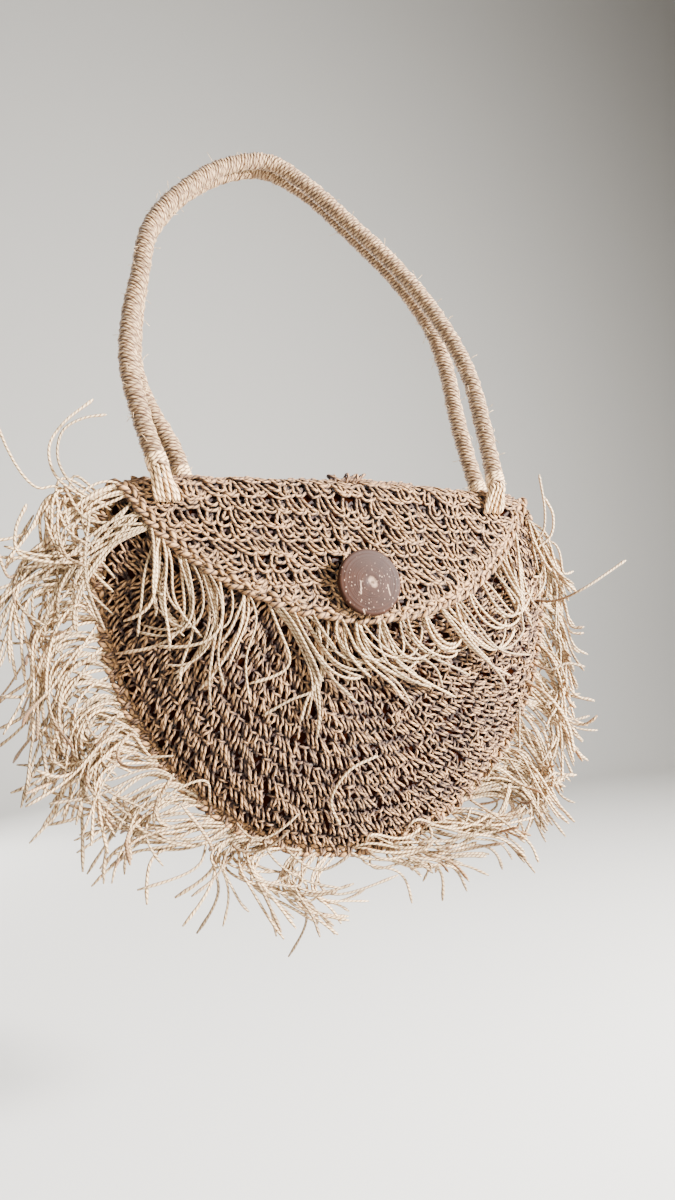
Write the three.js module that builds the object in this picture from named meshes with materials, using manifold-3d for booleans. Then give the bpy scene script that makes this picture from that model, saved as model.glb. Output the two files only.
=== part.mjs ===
// Crocheted seagrass handbag: a round pouch whose back folds over the top as a flap, with a fringed seam,
// a fringed flap edge, a coconut-shell button and two rope handles wound with cord.
// Millimetres, +Z up, front towards -Y. The origin is where the bag hangs, under the handles' crest.
import * as THREE from "three";
import { mergeVertices } from "three/addons/utils/BufferGeometryUtils.js";
import Module from "manifold-3d";

const wasm = await Module();
wasm.setup();

// The pouch, measured from its widest line (z = 0) and from the plane of its seam (y = 0)
const HALF_WIDTH = 155;
const DROP_BELOW = 172;
const RISE_ABOVE = 165;
const FOLD_HEIGHT = 64;
const FLAP_DROP = 90;
const FRONT_FULLNESS = 36;
const BACK_FULLNESS = 24;
const CLOSING_HEIGHT = -40;
const FOLD_FULLNESS_SHARE = 0.22;
const ROUNDING = { reach: 2.5, crown: 0.75 };

// Crochet walls and the gaps between layers
const WALL = 4.4;
const SEAM_SETBACK = 2.5;
const LAYER_GAP = 1.8;
const JOIN_GAP = 0.3;
const FRONT_TOP_HEIGHT = 46;
const END_TURN = THREE.MathUtils.degToRad(86);
const WALL_GRID = { lowerRows: 9, foldRows: 7, flapRows: 7, columns: 18 };

// Braided ridges that carry the fringes, and the locks of cord knotted to them
const SEAM_RIDGE_RADIUS = 3.6;
const SEAM_RIDGE_OUTSET = 3.2;
const SEAM_TOP_HEIGHT = 50;
const SEAM_RIDGE_STEPS = 46;
const SEAM_LOCKS = 45;
const FLAP_RIDGE_RADIUS = 3;
const FLAP_RIDGE_STEPS = 30;
const FLAP_FRINGE_TURN = THREE.MathUtils.degToRad(31);
const FLAP_LOCKS = 22;
const RIDGE_SIDES = 6;
const LOCK_STEPS = 4;
const LOCK_SIDES = 4;
const LOCK_HALF_THICKNESS = 1.6;
const LOCK_HALF_WIDTHS = [3, 5, 5.5, 4.5, 2.5];
const LOCK_CLEARANCE = 1.2;
const LOCK_UNEVEN = {
  seamSideways: 0.25,
  seamLength: 0.1,
  lengthOffset: 7,
  flapSideways: 0.1,
  flapLength: 0.08,
};
const SMALLEST_EDGE = 0.02;

// How the seam's fringe lies, from the seam's left top end (0) round the bottom to its right top end (1):
// length of the cords, how far their first direction points out, forward and rightward, and how fast they sag
const SEAM_FRINGE = [
  { along: 0.0, length: 86, out: 1.0, forward: 0.3, rightward: -0.2, sag: 1.2 },
  { along: 0.1, length: 94, out: 1.0, forward: 0.3, rightward: -0.1, sag: 1.15 },
  { along: 0.29, length: 78, out: 0.6, forward: 0.3, rightward: -0.8, sag: 0.95 },
  { along: 0.4, length: 58, out: 0.5, forward: 0.35, rightward: -0.9, sag: 0.8 },
  { along: 0.5, length: 44, out: 0.7, forward: 0.4, rightward: 0.2, sag: 0.6 },
  { along: 0.64, length: 55, out: 0.7, forward: 0.3, rightward: 0.5, sag: 0.9 },
  { along: 0.8, length: 68, out: 0.7, forward: 0.2, rightward: 0.1, sag: 1.5 },
  { along: 0.92, length: 76, out: 0.7, forward: 0.2, rightward: 0.0, sag: 1.9 },
  { along: 1.0, length: 74, out: 0.7, forward: 0.25, rightward: 0.1, sag: 1.6 },
];

// How the flap's fringe lies from its left end (0) to its right end (1)
const FLAP_FRINGE = [
  { along: 0.0, length: 64, rightward: -0.35 },
  { along: 0.25, length: 72, rightward: -0.6 },
  { along: 0.5, length: 58, rightward: -0.1 },
  { along: 0.75, length: 70, rightward: 0.65 },
  { along: 1.0, length: 60, rightward: 0.3 },
];

// Rope handles: x and height above the fold along each route, from the left foot over the crest to the right
const HANDLE_RADIUS = 6.5;
const HANDLE_STEPS = 52;
const HANDLE_SIDES = 10;
const CREST_HEIGHT = 279;
const FRONT_HANDLE = {
  footY: -18,
  crestY: 81.6,
  route: [
    { x: -124, height: 0 }, { x: -131, height: 33 }, { x: -136, height: 75 }, { x: -131, height: 113 },
    { x: -121, height: 152 }, { x: -110, height: 193 }, { x: -80, height: 235 }, { x: -43, height: 267 },
    { x: -8, height: CREST_HEIGHT }, { x: 19, height: 263 }, { x: 50, height: 230 }, { x: 84, height: 189 },
    { x: 108, height: 145 }, { x: 121, height: 96 }, { x: 120, height: 48 }, { x: 116, height: 0 },
  ],
};
const BACK_HANDLE = {
  footY: 12,
  crestY: 95,
  route: [
    { x: -102, height: 0 }, { x: -107, height: 24 }, { x: -120, height: 53 }, { x: -127, height: 82 },
    { x: -125, height: 114 }, { x: -118, height: 152 }, { x: -109, height: 193 }, { x: -81, height: 236 },
    { x: -43, height: 267 }, { x: -8, height: CREST_HEIGHT }, { x: 26, height: 264 }, { x: 58, height: 231 },
    { x: 92, height: 190 }, { x: 113, height: 149 }, { x: 119, height: 109 }, { x: 118, height: 75 },
    { x: 118, height: 44 }, { x: 121, height: 0 },
  ],
};

// Lashings that sew the handle ends on: drop below the handle's foot, half width and half thickness
const LASHING_SECTIONS = [
  { drop: 0, halfWidth: 6.4, halfThickness: 6.4 },
  { drop: 2, halfWidth: 6.4, halfThickness: 6.2 },
  { drop: 6, halfWidth: 6.8, halfThickness: 5 },
  { drop: 10, halfWidth: 7.6, halfThickness: 3.4 },
  { drop: 15, halfWidth: 8.4, halfThickness: 2.2 },
  { drop: 19, halfWidth: 7.6, halfThickness: 1.6 },
];
const LASHING_GAP = 0.9;
const LASHING_INWARD = 0.25;
const LASHING_SIDES = 10;

// Coconut-shell button on the flap, which droops from its hidden shank
const BUTTON = { x: -2, z: -10.5, radius: 21.2, thickness: 5, rim: 1.4, dome: 0.8, dimple: 1.6 };
const BUTTON_LIFT = 4.2;
const BUTTON_DROOP = THREE.MathUtils.degToRad(12);
const BUTTON_SIDES = 32;
const SHANK = { radius: 4, holeRadius: 5, sides: 14 };

// Finishes
const SEAGRASS_TAN = { color: 0xc3a078, roughness: 0.85 };
const CORD_CREAM = { color: 0xdcc7a0, roughness: 0.8 };
const COCONUT_BROWN = { color: 0x8d6a5b, roughness: 0.4 };

// Values that follow from the driving dimensions
const FLAP_SHRINK = FLAP_DROP / (RISE_ABOVE - FOLD_HEIGHT);
const FOLD_RADIUS = (frontDepth(0, FOLD_HEIGHT) + WALL + LAYER_GAP + backDepth(0, FOLD_HEIGHT)) / 2;
const FOLD_START = FOLD_HEIGHT - FOLD_RADIUS - WALL / 2;
const FOLD_END = FOLD_HEIGHT + (FOLD_HEIGHT - FOLD_START) / FLAP_SHRINK;
const DOWN = new THREE.Vector3(0, 0, -1);
const BACKWARD = new THREE.Vector3(0, 1, 0);
const RIGHTWARD = new THREE.Vector3(1, 0, 0);
const BUTTON_TILT = new THREE.Matrix4().makeRotationX(BUTTON_DROOP);

// Share of the pouch's fullness at a point of the seam's plane: a cushion that closes towards the fold
function fullness(x, z) {
  const reach = z < 0 ? DROP_BELOW : RISE_ABOVE;
  const radius = Math.min(1, Math.hypot(x / HALF_WIDTH, z / reach));
  const crown = Math.pow(1 - Math.pow(radius, ROUNDING.reach), ROUNDING.crown);
  const closing = THREE.MathUtils.smoothstep(z, CLOSING_HEIGHT, FOLD_HEIGHT);
  return crown * (1 - (1 - FOLD_FULLNESS_SHARE) * closing);
}

function frontDepth(x, z) {
  return SEAM_SETBACK + FRONT_FULLNESS * fullness(x, z);
}

function backDepth(x, z) {
  return SEAM_SETBACK + BACK_FULLNESS * fullness(x, z);
}

function flapDepth(x, z) {
  return frontDepth(x, z) + WALL + LAYER_GAP;
}

// Half the width of the round crochet at a height on the flat piece, before it is folded
function halfWidthAt(flatHeight) {
  const reach = flatHeight < 0 ? DROP_BELOW : RISE_ABOVE;
  return HALF_WIDTH * Math.sqrt(1 - (flatHeight / reach) ** 2);
}

// Middle of the back wall at a point of the flat piece: up the back, over the fold and down as the flap
function foldedPoint(x, flatHeight) {
  if (flatHeight <= FOLD_START) {
    return new THREE.Vector3(x, backDepth(x, flatHeight), flatHeight);
  }
  if (flatHeight >= FOLD_END) {
    const z = flapHeight(flatHeight);
    return new THREE.Vector3(x, -flapDepth(x, z), z);
  }
  const backY = backDepth(x, FOLD_START);
  const frontY = -flapDepth(x, FOLD_START);
  const turn = (Math.PI * (flatHeight - FOLD_START)) / (FOLD_END - FOLD_START);
  const radius = (backY - frontY) / 2;
  const y = (backY + frontY) / 2 + radius * Math.cos(turn);
  return new THREE.Vector3(x, y, FOLD_START + radius * Math.sin(turn));
}

function flapHeight(flatHeight) {
  return FOLD_HEIGHT - (flatHeight - FOLD_HEIGHT) * FLAP_SHRINK;
}

// Y of the bag's outside at a place on its face, in front (side -1) or behind (side 1), round the fold too
function faceY(side, x, z) {
  if (z <= FOLD_START) {
    return side < 0 ? -flapDepth(x, z) - WALL / 2 : backDepth(x, z) + WALL / 2;
  }
  const backY = backDepth(x, FOLD_START);
  const frontY = -flapDepth(x, FOLD_START);
  const radius = (backY - frontY) / 2 + WALL / 2;
  const rise = Math.min(radius, z - FOLD_START);
  return (backY + frontY) / 2 + side * Math.sqrt(radius ** 2 - rise ** 2);
}

// Closed geometry from points and triangles, with its faces turned outward
function closedGeometry(points, triangles) {
  const volume = triangles.reduce(
    (sum, [a, b, c]) => sum + points[a].dot(new THREE.Vector3().crossVectors(points[b], points[c])),
    0,
  );
  const outward = volume < 0 ? triangles.map(([a, b, c]) => [a, c, b]) : triangles;
  return new THREE.BufferGeometry().setFromPoints(points).setIndex(outward.flat());
}

// Wall of crochet about a grid of middle points: one face on each side and a strip round the edge
function crochetWall(grid) {
  const rows = grid.length;
  const columns = grid[0].length;
  const offsets = grid.map((row, i) =>
    row.map((_, j) => {
      const [left, right] = [row[Math.max(j - 1, 0)], row[Math.min(j + 1, columns - 1)]];
      const [below, above] = [grid[Math.max(i - 1, 0)][j], grid[Math.min(i + 1, rows - 1)][j]];
      return right.clone().sub(left).cross(above.clone().sub(below)).setLength(WALL / 2);
    }),
  );
  const side = (sign) =>
    grid.flatMap((row, i) => row.map((point, j) => point.clone().addScaledVector(offsets[i][j], sign)));
  const points = [...side(1), ...side(-1)];
  const face = (i, j) => i * columns + j;
  const far = (index) => index + rows * columns;
  const triangles = [];
  for (let i = 0; i < rows - 1; i++) {
    for (let j = 0; j < columns - 1; j++) {
      const [a, b, c, d] = [face(i, j), face(i, j + 1), face(i + 1, j + 1), face(i + 1, j)];
      triangles.push([a, b, c], [a, c, d], [far(a), far(c), far(b)], [far(a), far(d), far(c)]);
    }
  }
  const edge = [];
  for (let j = 0; j < columns - 1; j++) edge.push(face(0, j));
  for (let i = 0; i < rows - 1; i++) edge.push(face(i, columns - 1));
  for (let j = columns - 1; j > 0; j--) edge.push(face(rows - 1, j));
  for (let i = rows - 1; i > 0; i--) edge.push(face(i, 0));
  edge.forEach((a, k) => {
    const b = edge[(k + 1) % edge.length];
    triangles.push([a, far(a), far(b)], [a, far(b), b]);
  });
  return closedGeometry(points, triangles);
}

// Rows of middle points across the crochet, closer together towards the edges, where it turns most
function wallGrid(flatHeights, columns, pointAt) {
  return flatHeights.map((height) =>
    Array.from({ length: columns + 1 }, (_, j) =>
      pointAt(halfWidthAt(height) * Math.sin(Math.PI * (j / columns - 0.5)), height),
    ),
  );
}

function spread(from, to, count) {
  return Array.from({ length: count + 1 }, (_, i) => THREE.MathUtils.lerp(from, to, i / count));
}

// Heights from the bottom of the round outline up to a height, at even turns round the outline
function lowerHeights(top, count) {
  const below = spread(-END_TURN, 0, count).map((turn) => DROP_BELOW * Math.sin(turn));
  return [...below, ...spread(0, top, Math.ceil(count / 2)).slice(1)];
}

// Closed sweep of an oval section along points: across gives the direction of the section's width
function sweep(points, halfWidths, halfThicknesses, across, sides) {
  const corners = points.flatMap((point, i) => {
    const ahead = points[Math.min(i + 1, points.length - 1)];
    const behind = points[Math.max(i - 1, 0)];
    const tangent = new THREE.Vector3().subVectors(ahead, behind).normalize();
    const width = across.clone().addScaledVector(tangent, -across.dot(tangent)).normalize();
    const thickness = new THREE.Vector3().crossVectors(tangent, width);
    return Array.from({ length: sides }, (_, k) => {
      const turn = (2 * Math.PI * k) / sides;
      return point
        .clone()
        .addScaledVector(width, halfWidths[i] * Math.cos(turn))
        .addScaledVector(thickness, halfThicknesses[i] * Math.sin(turn));
    });
  });
  const triangles = [];
  for (let i = 0; i < points.length - 1; i++) {
    for (let k = 0; k < sides; k++) {
      const [a, b] = [i * sides + k, i * sides + ((k + 1) % sides)];
      triangles.push([a, b, b + sides], [a, b + sides, a + sides]);
    }
  }
  const last = (points.length - 1) * sides;
  for (let k = 1; k < sides - 1; k++) {
    triangles.push([0, k + 1, k], [last, last + k, last + k + 1]);
  }
  return closedGeometry(corners, triangles);
}

function toSolid(geometry) {
  const bare = geometry.clone();
  bare.deleteAttribute("normal");
  bare.deleteAttribute("uv");
  const merged = mergeVertices(bare);
  const vertProperties = new Float32Array(merged.attributes.position.array);
  const triVerts = new Uint32Array(merged.index.array);
  return new wasm.Manifold(new wasm.Mesh({ numProp: 3, vertProperties, triVerts }));
}

function toGeometry(solid) {
  const mesh = solid.getMesh();
  const geometry = new THREE.BufferGeometry();
  geometry.setAttribute("position", new THREE.BufferAttribute(mesh.vertProperties, 3));
  return geometry.setIndex(new THREE.BufferAttribute(mesh.triVerts, 1));
}

// Value of a named column of a table of stations, between the two stations beside a place along it
function tableValue(table, column, along) {
  const next = Math.max(1, table.findIndex((row) => row.along >= along));
  const [a, b] = [table[next - 1], table[next]];
  const share = (along - a.along) / (b.along - a.along);
  return THREE.MathUtils.lerp(a[column], b[column], share);
}

// Repeatable unevenness between -1 and 1 for a numbered lock
function unevenness(index) {
  return Math.sin(index * 2.4) * Math.cos(index * 1.1 + 0.6);
}

// Point on the seam at a turn of its outline, moved out from it in its plane, with the outward direction there
function seamPoint(turn, outset) {
  const reach = Math.sin(turn) < 0 ? DROP_BELOW : RISE_ABOVE;
  const outward = new THREE.Vector3(Math.cos(turn) / HALF_WIDTH, 0, Math.sin(turn) / reach).normalize();
  const point = new THREE.Vector3(HALF_WIDTH * Math.cos(turn), 0, reach * Math.sin(turn));
  return { point: point.addScaledVector(outward, outset), outward };
}

// Turn of the outline at a share of the way along the seam, from the left top end to the right one
function seamTurn(along) {
  const above = Math.asin(SEAM_TOP_HEIGHT / RISE_ABOVE);
  return THREE.MathUtils.lerp(-Math.PI - above, above, along);
}

// Point beside the flap's curved edge, in the middle of its wall, at a turn of the round outline
function flapEdgePoint(turn, outset) {
  const place = (angle) =>
    new THREE.Vector2(HALF_WIDTH * Math.cos(angle), flapHeight(RISE_ABOVE * Math.sin(angle)));
  const tinyTurn = 1e-3;
  const tangent = place(turn - tinyTurn).sub(place(turn + tinyTurn)).normalize();
  const { x, y: z } = place(turn).add(new THREE.Vector2(tangent.y, -tangent.x).multiplyScalar(outset));
  return new THREE.Vector3(x, -flapDepth(x, z), z);
}

function flapTurn(along) {
  return THREE.MathUtils.lerp(Math.PI - FLAP_FRINGE_TURN, FLAP_FRINGE_TURN, along);
}

function ridge(points, radius) {
  const radii = points.map(() => radius);
  return sweep(points, radii, radii, BACKWARD, RIDGE_SIDES);
}

function lock(points, across) {
  const thicknesses = points.map(() => LOCK_HALF_THICKNESS);
  return toSolid(sweep(points, LOCK_HALF_WIDTHS, thicknesses, across, LOCK_SIDES));
}

// Lock of the seam's fringe: cords spring out of the knot and bend down under their weight
function seamLock(index) {
  const along = (index + 0.5) / SEAM_LOCKS;
  const { point, outward } = seamPoint(seamTurn(along), SEAM_RIDGE_OUTSET);
  const uneven = unevenness(index);
  const start = outward.clone().multiplyScalar(tableValue(SEAM_FRINGE, "out", along));
  start.y -= tableValue(SEAM_FRINGE, "forward", along) * (1 + uneven);
  start.x += tableValue(SEAM_FRINGE, "rightward", along) + LOCK_UNEVEN.seamSideways * uneven;
  const lengthening = 1 + LOCK_UNEVEN.seamLength * unevenness(index + LOCK_UNEVEN.lengthOffset);
  const length = tableValue(SEAM_FRINGE, "length", along) * lengthening;
  const sag = tableValue(SEAM_FRINGE, "sag", along);
  const points = [point];
  for (let step = 0; step < LOCK_STEPS; step++) {
    const bend = Math.min(1, (sag * (step + 0.5)) / LOCK_STEPS);
    const heading = start.clone().normalize().lerp(DOWN, bend).setLength(length / LOCK_STEPS);
    points.push(points[step].clone().add(heading));
  }
  return lock(points, new THREE.Vector3().crossVectors(outward, BACKWARD));
}

// Lock of the flap's fringe: cords lie on the front panel and sweep away from the middle
function flapLock(index) {
  const along = (index + 0.5) / FLAP_LOCKS;
  const uneven = unevenness(index);
  const length = tableValue(FLAP_FRINGE, "length", along) * (1 + LOCK_UNEVEN.flapLength * uneven);
  const rightward = tableValue(FLAP_FRINGE, "rightward", along) + LOCK_UNEVEN.flapSideways * uneven;
  const points = [flapEdgePoint(flapTurn(along), FLAP_RIDGE_RADIUS + JOIN_GAP)];
  for (let step = 0; step < LOCK_STEPS; step++) {
    const heading = new THREE.Vector2(rightward * (0.5 + step / LOCK_STEPS), -1).setLength(length / LOCK_STEPS);
    const x = points[step].x + heading.x;
    const z = points[step].z + heading.y;
    const clearance = LOCK_CLEARANCE + LOCK_HALF_THICKNESS + WALL / 2;
    points.push(new THREE.Vector3(x, -frontDepth(x, z) - clearance, z));
  }
  return lock(points, RIGHTWARD);
}

// Ridge and locks fused into one body, with any void caught between crossing locks filled and slivers removed
function fringe(ridgeGeometry, count, lockAt) {
  let solid = toSolid(ridgeGeometry);
  for (let index = 0; index < count; index++) {
    solid = solid.add(lockAt(index));
  }
  const [outerBody] = solid.decompose().sort((a, b) => b.volume() - a.volume());
  return toGeometry(outerBody.simplify(SMALLEST_EDGE));
}

function frontPanel() {
  const heights = lowerHeights(FRONT_TOP_HEIGHT, WALL_GRID.lowerRows);
  const pointAt = (x, z) => new THREE.Vector3(x, -frontDepth(x, z), z);
  return crochetWall(wallGrid(heights, WALL_GRID.columns, pointAt));
}

function backPanel() {
  const heights = [
    ...lowerHeights(FOLD_START, WALL_GRID.lowerRows),
    ...spread(FOLD_START, FOLD_END, WALL_GRID.foldRows).slice(1),
    ...spread(Math.asin(FOLD_END / RISE_ABOVE), END_TURN, WALL_GRID.flapRows)
      .slice(1)
      .map((turn) => RISE_ABOVE * Math.sin(turn)),
  ];
  const wall = crochetWall(wallGrid(heights, WALL_GRID.columns, foldedPoint));
  const { holeRadius, sides } = SHANK;
  const hole = new THREE.CylinderGeometry(holeRadius, holeRadius, WALL + 2 * LAYER_GAP, sides);
  hole.applyMatrix4(buttonAxisMatrix(0));
  return toGeometry(toSolid(wall).subtract(toSolid(hole)));
}

function seamFringe() {
  const pointAt = (along) => seamPoint(seamTurn(along), SEAM_RIDGE_OUTSET).point;
  const points = spread(0, 1, SEAM_RIDGE_STEPS).map(pointAt);
  return fringe(ridge(points, SEAM_RIDGE_RADIUS), SEAM_LOCKS, seamLock);
}

function flapFringe() {
  const outset = FLAP_RIDGE_RADIUS + JOIN_GAP;
  const points = spread(0, 1, FLAP_RIDGE_STEPS).map((along) => flapEdgePoint(flapTurn(along), outset));
  return fringe(ridge(points, FLAP_RIDGE_RADIUS), FLAP_LOCKS, flapLock);
}

function handleCurve({ footY, crestY, route }) {
  const points = route.map(({ x, height }) => {
    const y = THREE.MathUtils.lerp(footY, crestY, height / CREST_HEIGHT);
    return new THREE.Vector3(x, y, FOLD_HEIGHT + height);
  });
  return new THREE.CatmullRomCurve3(points);
}

function handle(curve) {
  const section = new THREE.Shape();
  section.absarc(0, 0, HANDLE_RADIUS, 0, 2 * Math.PI);
  return new THREE.ExtrudeGeometry(section, {
    extrudePath: curve,
    steps: HANDLE_STEPS,
    curveSegments: HANDLE_SIDES / 2,
    bevelEnabled: false,
  });
}

// Lashing below a handle's foot: round at the rope, then flat on the crochet in front (side -1) or behind (1)
function lashing(curve, end, side) {
  const foot = curve.getPoint(end);
  const outward = curve.getTangent(end).multiplyScalar(end === 0 ? -1 : 1);
  const points = LASHING_SECTIONS.map(({ drop, halfThickness }, i) => {
    const point = foot.clone().addScaledVector(outward, JOIN_GAP + drop);
    if (i > 1) {
      point.z = foot.z - drop;
      point.x = foot.x - Math.sign(foot.x) * LASHING_INWARD * drop;
      point.y = faceY(side, point.x, point.z) + side * (LASHING_GAP + halfThickness);
    }
    return point;
  });
  const halfWidths = LASHING_SECTIONS.map((section) => section.halfWidth);
  const halfThicknesses = LASHING_SECTIONS.map((section) => section.halfThickness);
  return sweep(points, halfWidths, halfThicknesses, RIGHTWARD, LASHING_SIDES);
}

// Matrix that stands a Y-axis shape on the flap at the button, at a height over the middle of the flap's wall
function buttonAxisMatrix(height) {
  const { x, z } = BUTTON;
  const step = 1;
  const slopeX = (flapDepth(x + step, z) - flapDepth(x - step, z)) / (2 * step);
  const slopeZ = (flapDepth(x, z + step) - flapDepth(x, z - step)) / (2 * step);
  const normal = new THREE.Vector3(-slopeX, -1, -slopeZ).normalize();
  const turn = new THREE.Quaternion().setFromUnitVectors(BACKWARD, normal);
  const place = new THREE.Vector3(x, -flapDepth(x, z), z).addScaledVector(normal, height);
  return new THREE.Matrix4().compose(place, turn, new THREE.Vector3(1, 1, 1));
}

function button() {
  const { radius, thickness, rim, dome, dimple } = BUTTON;
  const profile = [
    new THREE.Vector2(0, 0),
    new THREE.Vector2(radius - rim, 0),
    new THREE.Vector2(radius, rim),
    new THREE.Vector2(radius, thickness - dome - rim),
    new THREE.Vector2(radius - rim, thickness - dome),
    new THREE.Vector2(radius / 2, thickness),
    new THREE.Vector2(dimple, thickness),
    new THREE.Vector2(0, thickness - dimple / 2),
  ];
  const geometry = new THREE.LatheGeometry(profile, BUTTON_SIDES);
  return geometry.applyMatrix4(BUTTON_TILT).applyMatrix4(buttonAxisMatrix(WALL / 2 + BUTTON_LIFT));
}

// Post from the front panel to the button, with its top end slanted like the button that droops over it
function buttonShank() {
  const bottom = -WALL / 2 - LAYER_GAP + JOIN_GAP;
  const top = WALL / 2 + BUTTON_LIFT - JOIN_GAP;
  const geometry = new THREE.CylinderGeometry(SHANK.radius, SHANK.radius, top - bottom, SHANK.sides);
  const buttonAxis = BACKWARD.clone().applyMatrix4(BUTTON_TILT);
  const { position } = geometry.attributes;
  for (let i = 0; i < position.count; i += 1) {
    if (position.getY(i) > 0) {
      const slant = (buttonAxis.x * position.getX(i) + buttonAxis.z * position.getZ(i)) / buttonAxis.y;
      position.setY(i, position.getY(i) - slant);
    }
  }
  return geometry.applyMatrix4(buttonAxisMatrix((top + bottom) / 2));
}

function addPiece(group, name, geometry, { color, roughness }) {
  const material = new THREE.MeshStandardMaterial({ color, roughness, metalness: 0 });
  const mesh = new THREE.Mesh(geometry, material);
  mesh.name = name;
  group.add(mesh);
}

const frontCurve = handleCurve(FRONT_HANDLE);
const backCurve = handleCurve(BACK_HANDLE);
const bag = new THREE.Group();

addPiece(bag, "front_panel", frontPanel(), SEAGRASS_TAN);
addPiece(bag, "back_panel", backPanel(), SEAGRASS_TAN);
addPiece(bag, "seam_fringe", seamFringe(), CORD_CREAM);
addPiece(bag, "flap_fringe", flapFringe(), CORD_CREAM);
addPiece(bag, "front_handle", handle(frontCurve), CORD_CREAM);
addPiece(bag, "back_handle", handle(backCurve), CORD_CREAM);
addPiece(bag, "front_left_lashing", lashing(frontCurve, 0, -1), CORD_CREAM);
addPiece(bag, "front_right_lashing", lashing(frontCurve, 1, -1), CORD_CREAM);
addPiece(bag, "back_left_lashing", lashing(backCurve, 0, 1), CORD_CREAM);
addPiece(bag, "back_right_lashing", lashing(backCurve, 1, 1), CORD_CREAM);
addPiece(bag, "button", button(), COCONUT_BROWN);
addPiece(bag, "button_shank", buttonShank(), SEAGRASS_TAN);

// The bag hangs from the underside of the crest, midway between the two handles
const hangY = (FRONT_HANDLE.crestY + BACK_HANDLE.crestY) / 2;
bag.position.set(0, -hangY, -(FOLD_HEIGHT + CREST_HEIGHT - HANDLE_RADIUS));

export default bag;
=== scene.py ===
"""Looks of a crocheted seagrass handbag: crochet walls, fringes, rope handles and a coconut-shell button.

Shapes are worked out in the pouch's own frame, in metres: z = 0 is the pouch's widest line, y = 0 the plane of its
seam, and the front faces -Y. make_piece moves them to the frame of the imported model, whose origin is the point that
the bag hangs from.
"""
import math
from collections import namedtuple

import bpy
import numpy as np
from mathutils import Matrix, Vector


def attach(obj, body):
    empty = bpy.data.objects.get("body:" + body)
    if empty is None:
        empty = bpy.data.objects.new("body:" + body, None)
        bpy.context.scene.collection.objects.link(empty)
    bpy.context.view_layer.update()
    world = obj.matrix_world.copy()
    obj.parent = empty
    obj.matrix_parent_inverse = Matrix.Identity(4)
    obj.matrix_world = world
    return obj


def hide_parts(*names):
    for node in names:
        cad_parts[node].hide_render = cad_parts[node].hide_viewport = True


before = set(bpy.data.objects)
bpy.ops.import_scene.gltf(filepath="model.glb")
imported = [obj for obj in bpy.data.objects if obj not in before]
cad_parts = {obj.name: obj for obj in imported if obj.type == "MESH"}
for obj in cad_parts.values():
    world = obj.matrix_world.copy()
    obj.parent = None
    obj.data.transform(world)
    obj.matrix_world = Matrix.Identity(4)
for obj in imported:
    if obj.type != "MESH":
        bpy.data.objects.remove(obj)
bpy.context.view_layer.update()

bl_info = {
    "name": "Seagrass Bag",
    "version": (1, 0, 0),
    "blender": (4, 5, 0),
    "location": "View3D > Sidebar > Seagrass Bag",
    "description": "Builds the crochet, fringes, rope handles and button of a seagrass bag",
    "category": "Add Mesh",
}

MM = 0.001
DOWN = np.array([0.0, 0.0, -1.0])
BACKWARD = np.array([0.0, 1.0, 0.0])
RIGHTWARD = np.array([1.0, 0.0, 0.0])

# Form of the pouch, the same as in the solid model
CLOSING_HEIGHT = -40 * MM
FOLD_FULLNESS_SHARE = 0.22
CROWN_REACH = 2.5
CROWN_POWER = 0.75
WALL = 4.4 * MM
SEAM_SETBACK = 2.5 * MM
LAYER_GAP = 1.8 * MM
JOIN_GAP = 0.3 * MM
FRONT_TOP_HEIGHT = 46 * MM
SEAM_TOP_HEIGHT = 50 * MM
SEAM_OUTSET = 3.2 * MM
FLAP_RIDGE_RADIUS = 3 * MM
FLAP_FRINGE_TURN = math.radians(31)
CREST_HEIGHT = 279 * MM

# How the seam's fringe lies, from the seam's left top end (0) round the bottom to its right top end (1): the cords'
# length, and their heading at the knot and at the tip, as shares to the right, to the front and upwards
SEAM_FRINGE = {
    "along": (0.0, 0.1, 0.2, 0.28, 0.36, 0.44, 0.5, 0.6, 0.7, 0.8, 0.9, 1.0),
    "length_mm": (84, 96, 96, 84, 82, 78, 56, 70, 68, 62, 60, 58),
    "knot_right": (-1.0, -1.0, -1.0, -1.0, -1.0, -1.0, -0.4, 0.8, 0.8, 0.55, 0.4, 0.5),
    "knot_front": (0.1, 0.06, 0.08, 0.1, 0.12, 0.2, 0.25, 0.15, 0.1, 0.15, 0.15, 0.15),
    "knot_up": (0.4, 0.3, 0.25, 0.3, 0.3, 0.15, -0.4, -0.2, -0.3, -0.8, -0.7, -0.2),
    "tip_right": (-0.2, 0.05, 0.0, -0.6, -0.4, 0.7, 0.9, 1.0, 0.4, -0.1, -0.15, -0.1),
    "tip_front": (0.03, 0.03, 0.03, 0.05, 0.05, 0.05, 0.03, 0.03, 0.03, 0.03, 0.03, 0.03),
    "tip_up": (-1.0, -1.0, -1.0, -0.6, -0.35, -0.45, -0.3, -0.15, -0.9, -1.0, -1.0, -1.0),
}

# Neighbouring knots whose cords hang together in a lock, how far the lock draws its cords together, and the power of
# the share along a cord by which the draw comes on
SEAM_LOCK_KNOTS = 3
FLAP_LOCK_KNOTS = 2
LOCK_DRAW = 0.48
LOCK_DRAW_POWER = 1.5

# Ways in which the seam's fringe heads and their signs in the frame, how far its cords differ from its table, first
# the part that a lock or a knot shares and then each cord's own, and the least and the most share of a length
SEAM_WAYS = (("right", 1), ("front", -1), ("up", 1))
SEAM_SPREAD = {"right": (0.18, 0.16), "front": (0.08, 0.1), "up": (0.2, 0.18), "length": (0.1, 0.12)}
SEAM_LENGTHS = (0.6, 1.12)

# Where the seam's fringe starts to be held in at the sides, and how far it may go beyond
FRINGE_EASE_FROM = 190 * MM
FRINGE_EASE = 44 * MM

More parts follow.
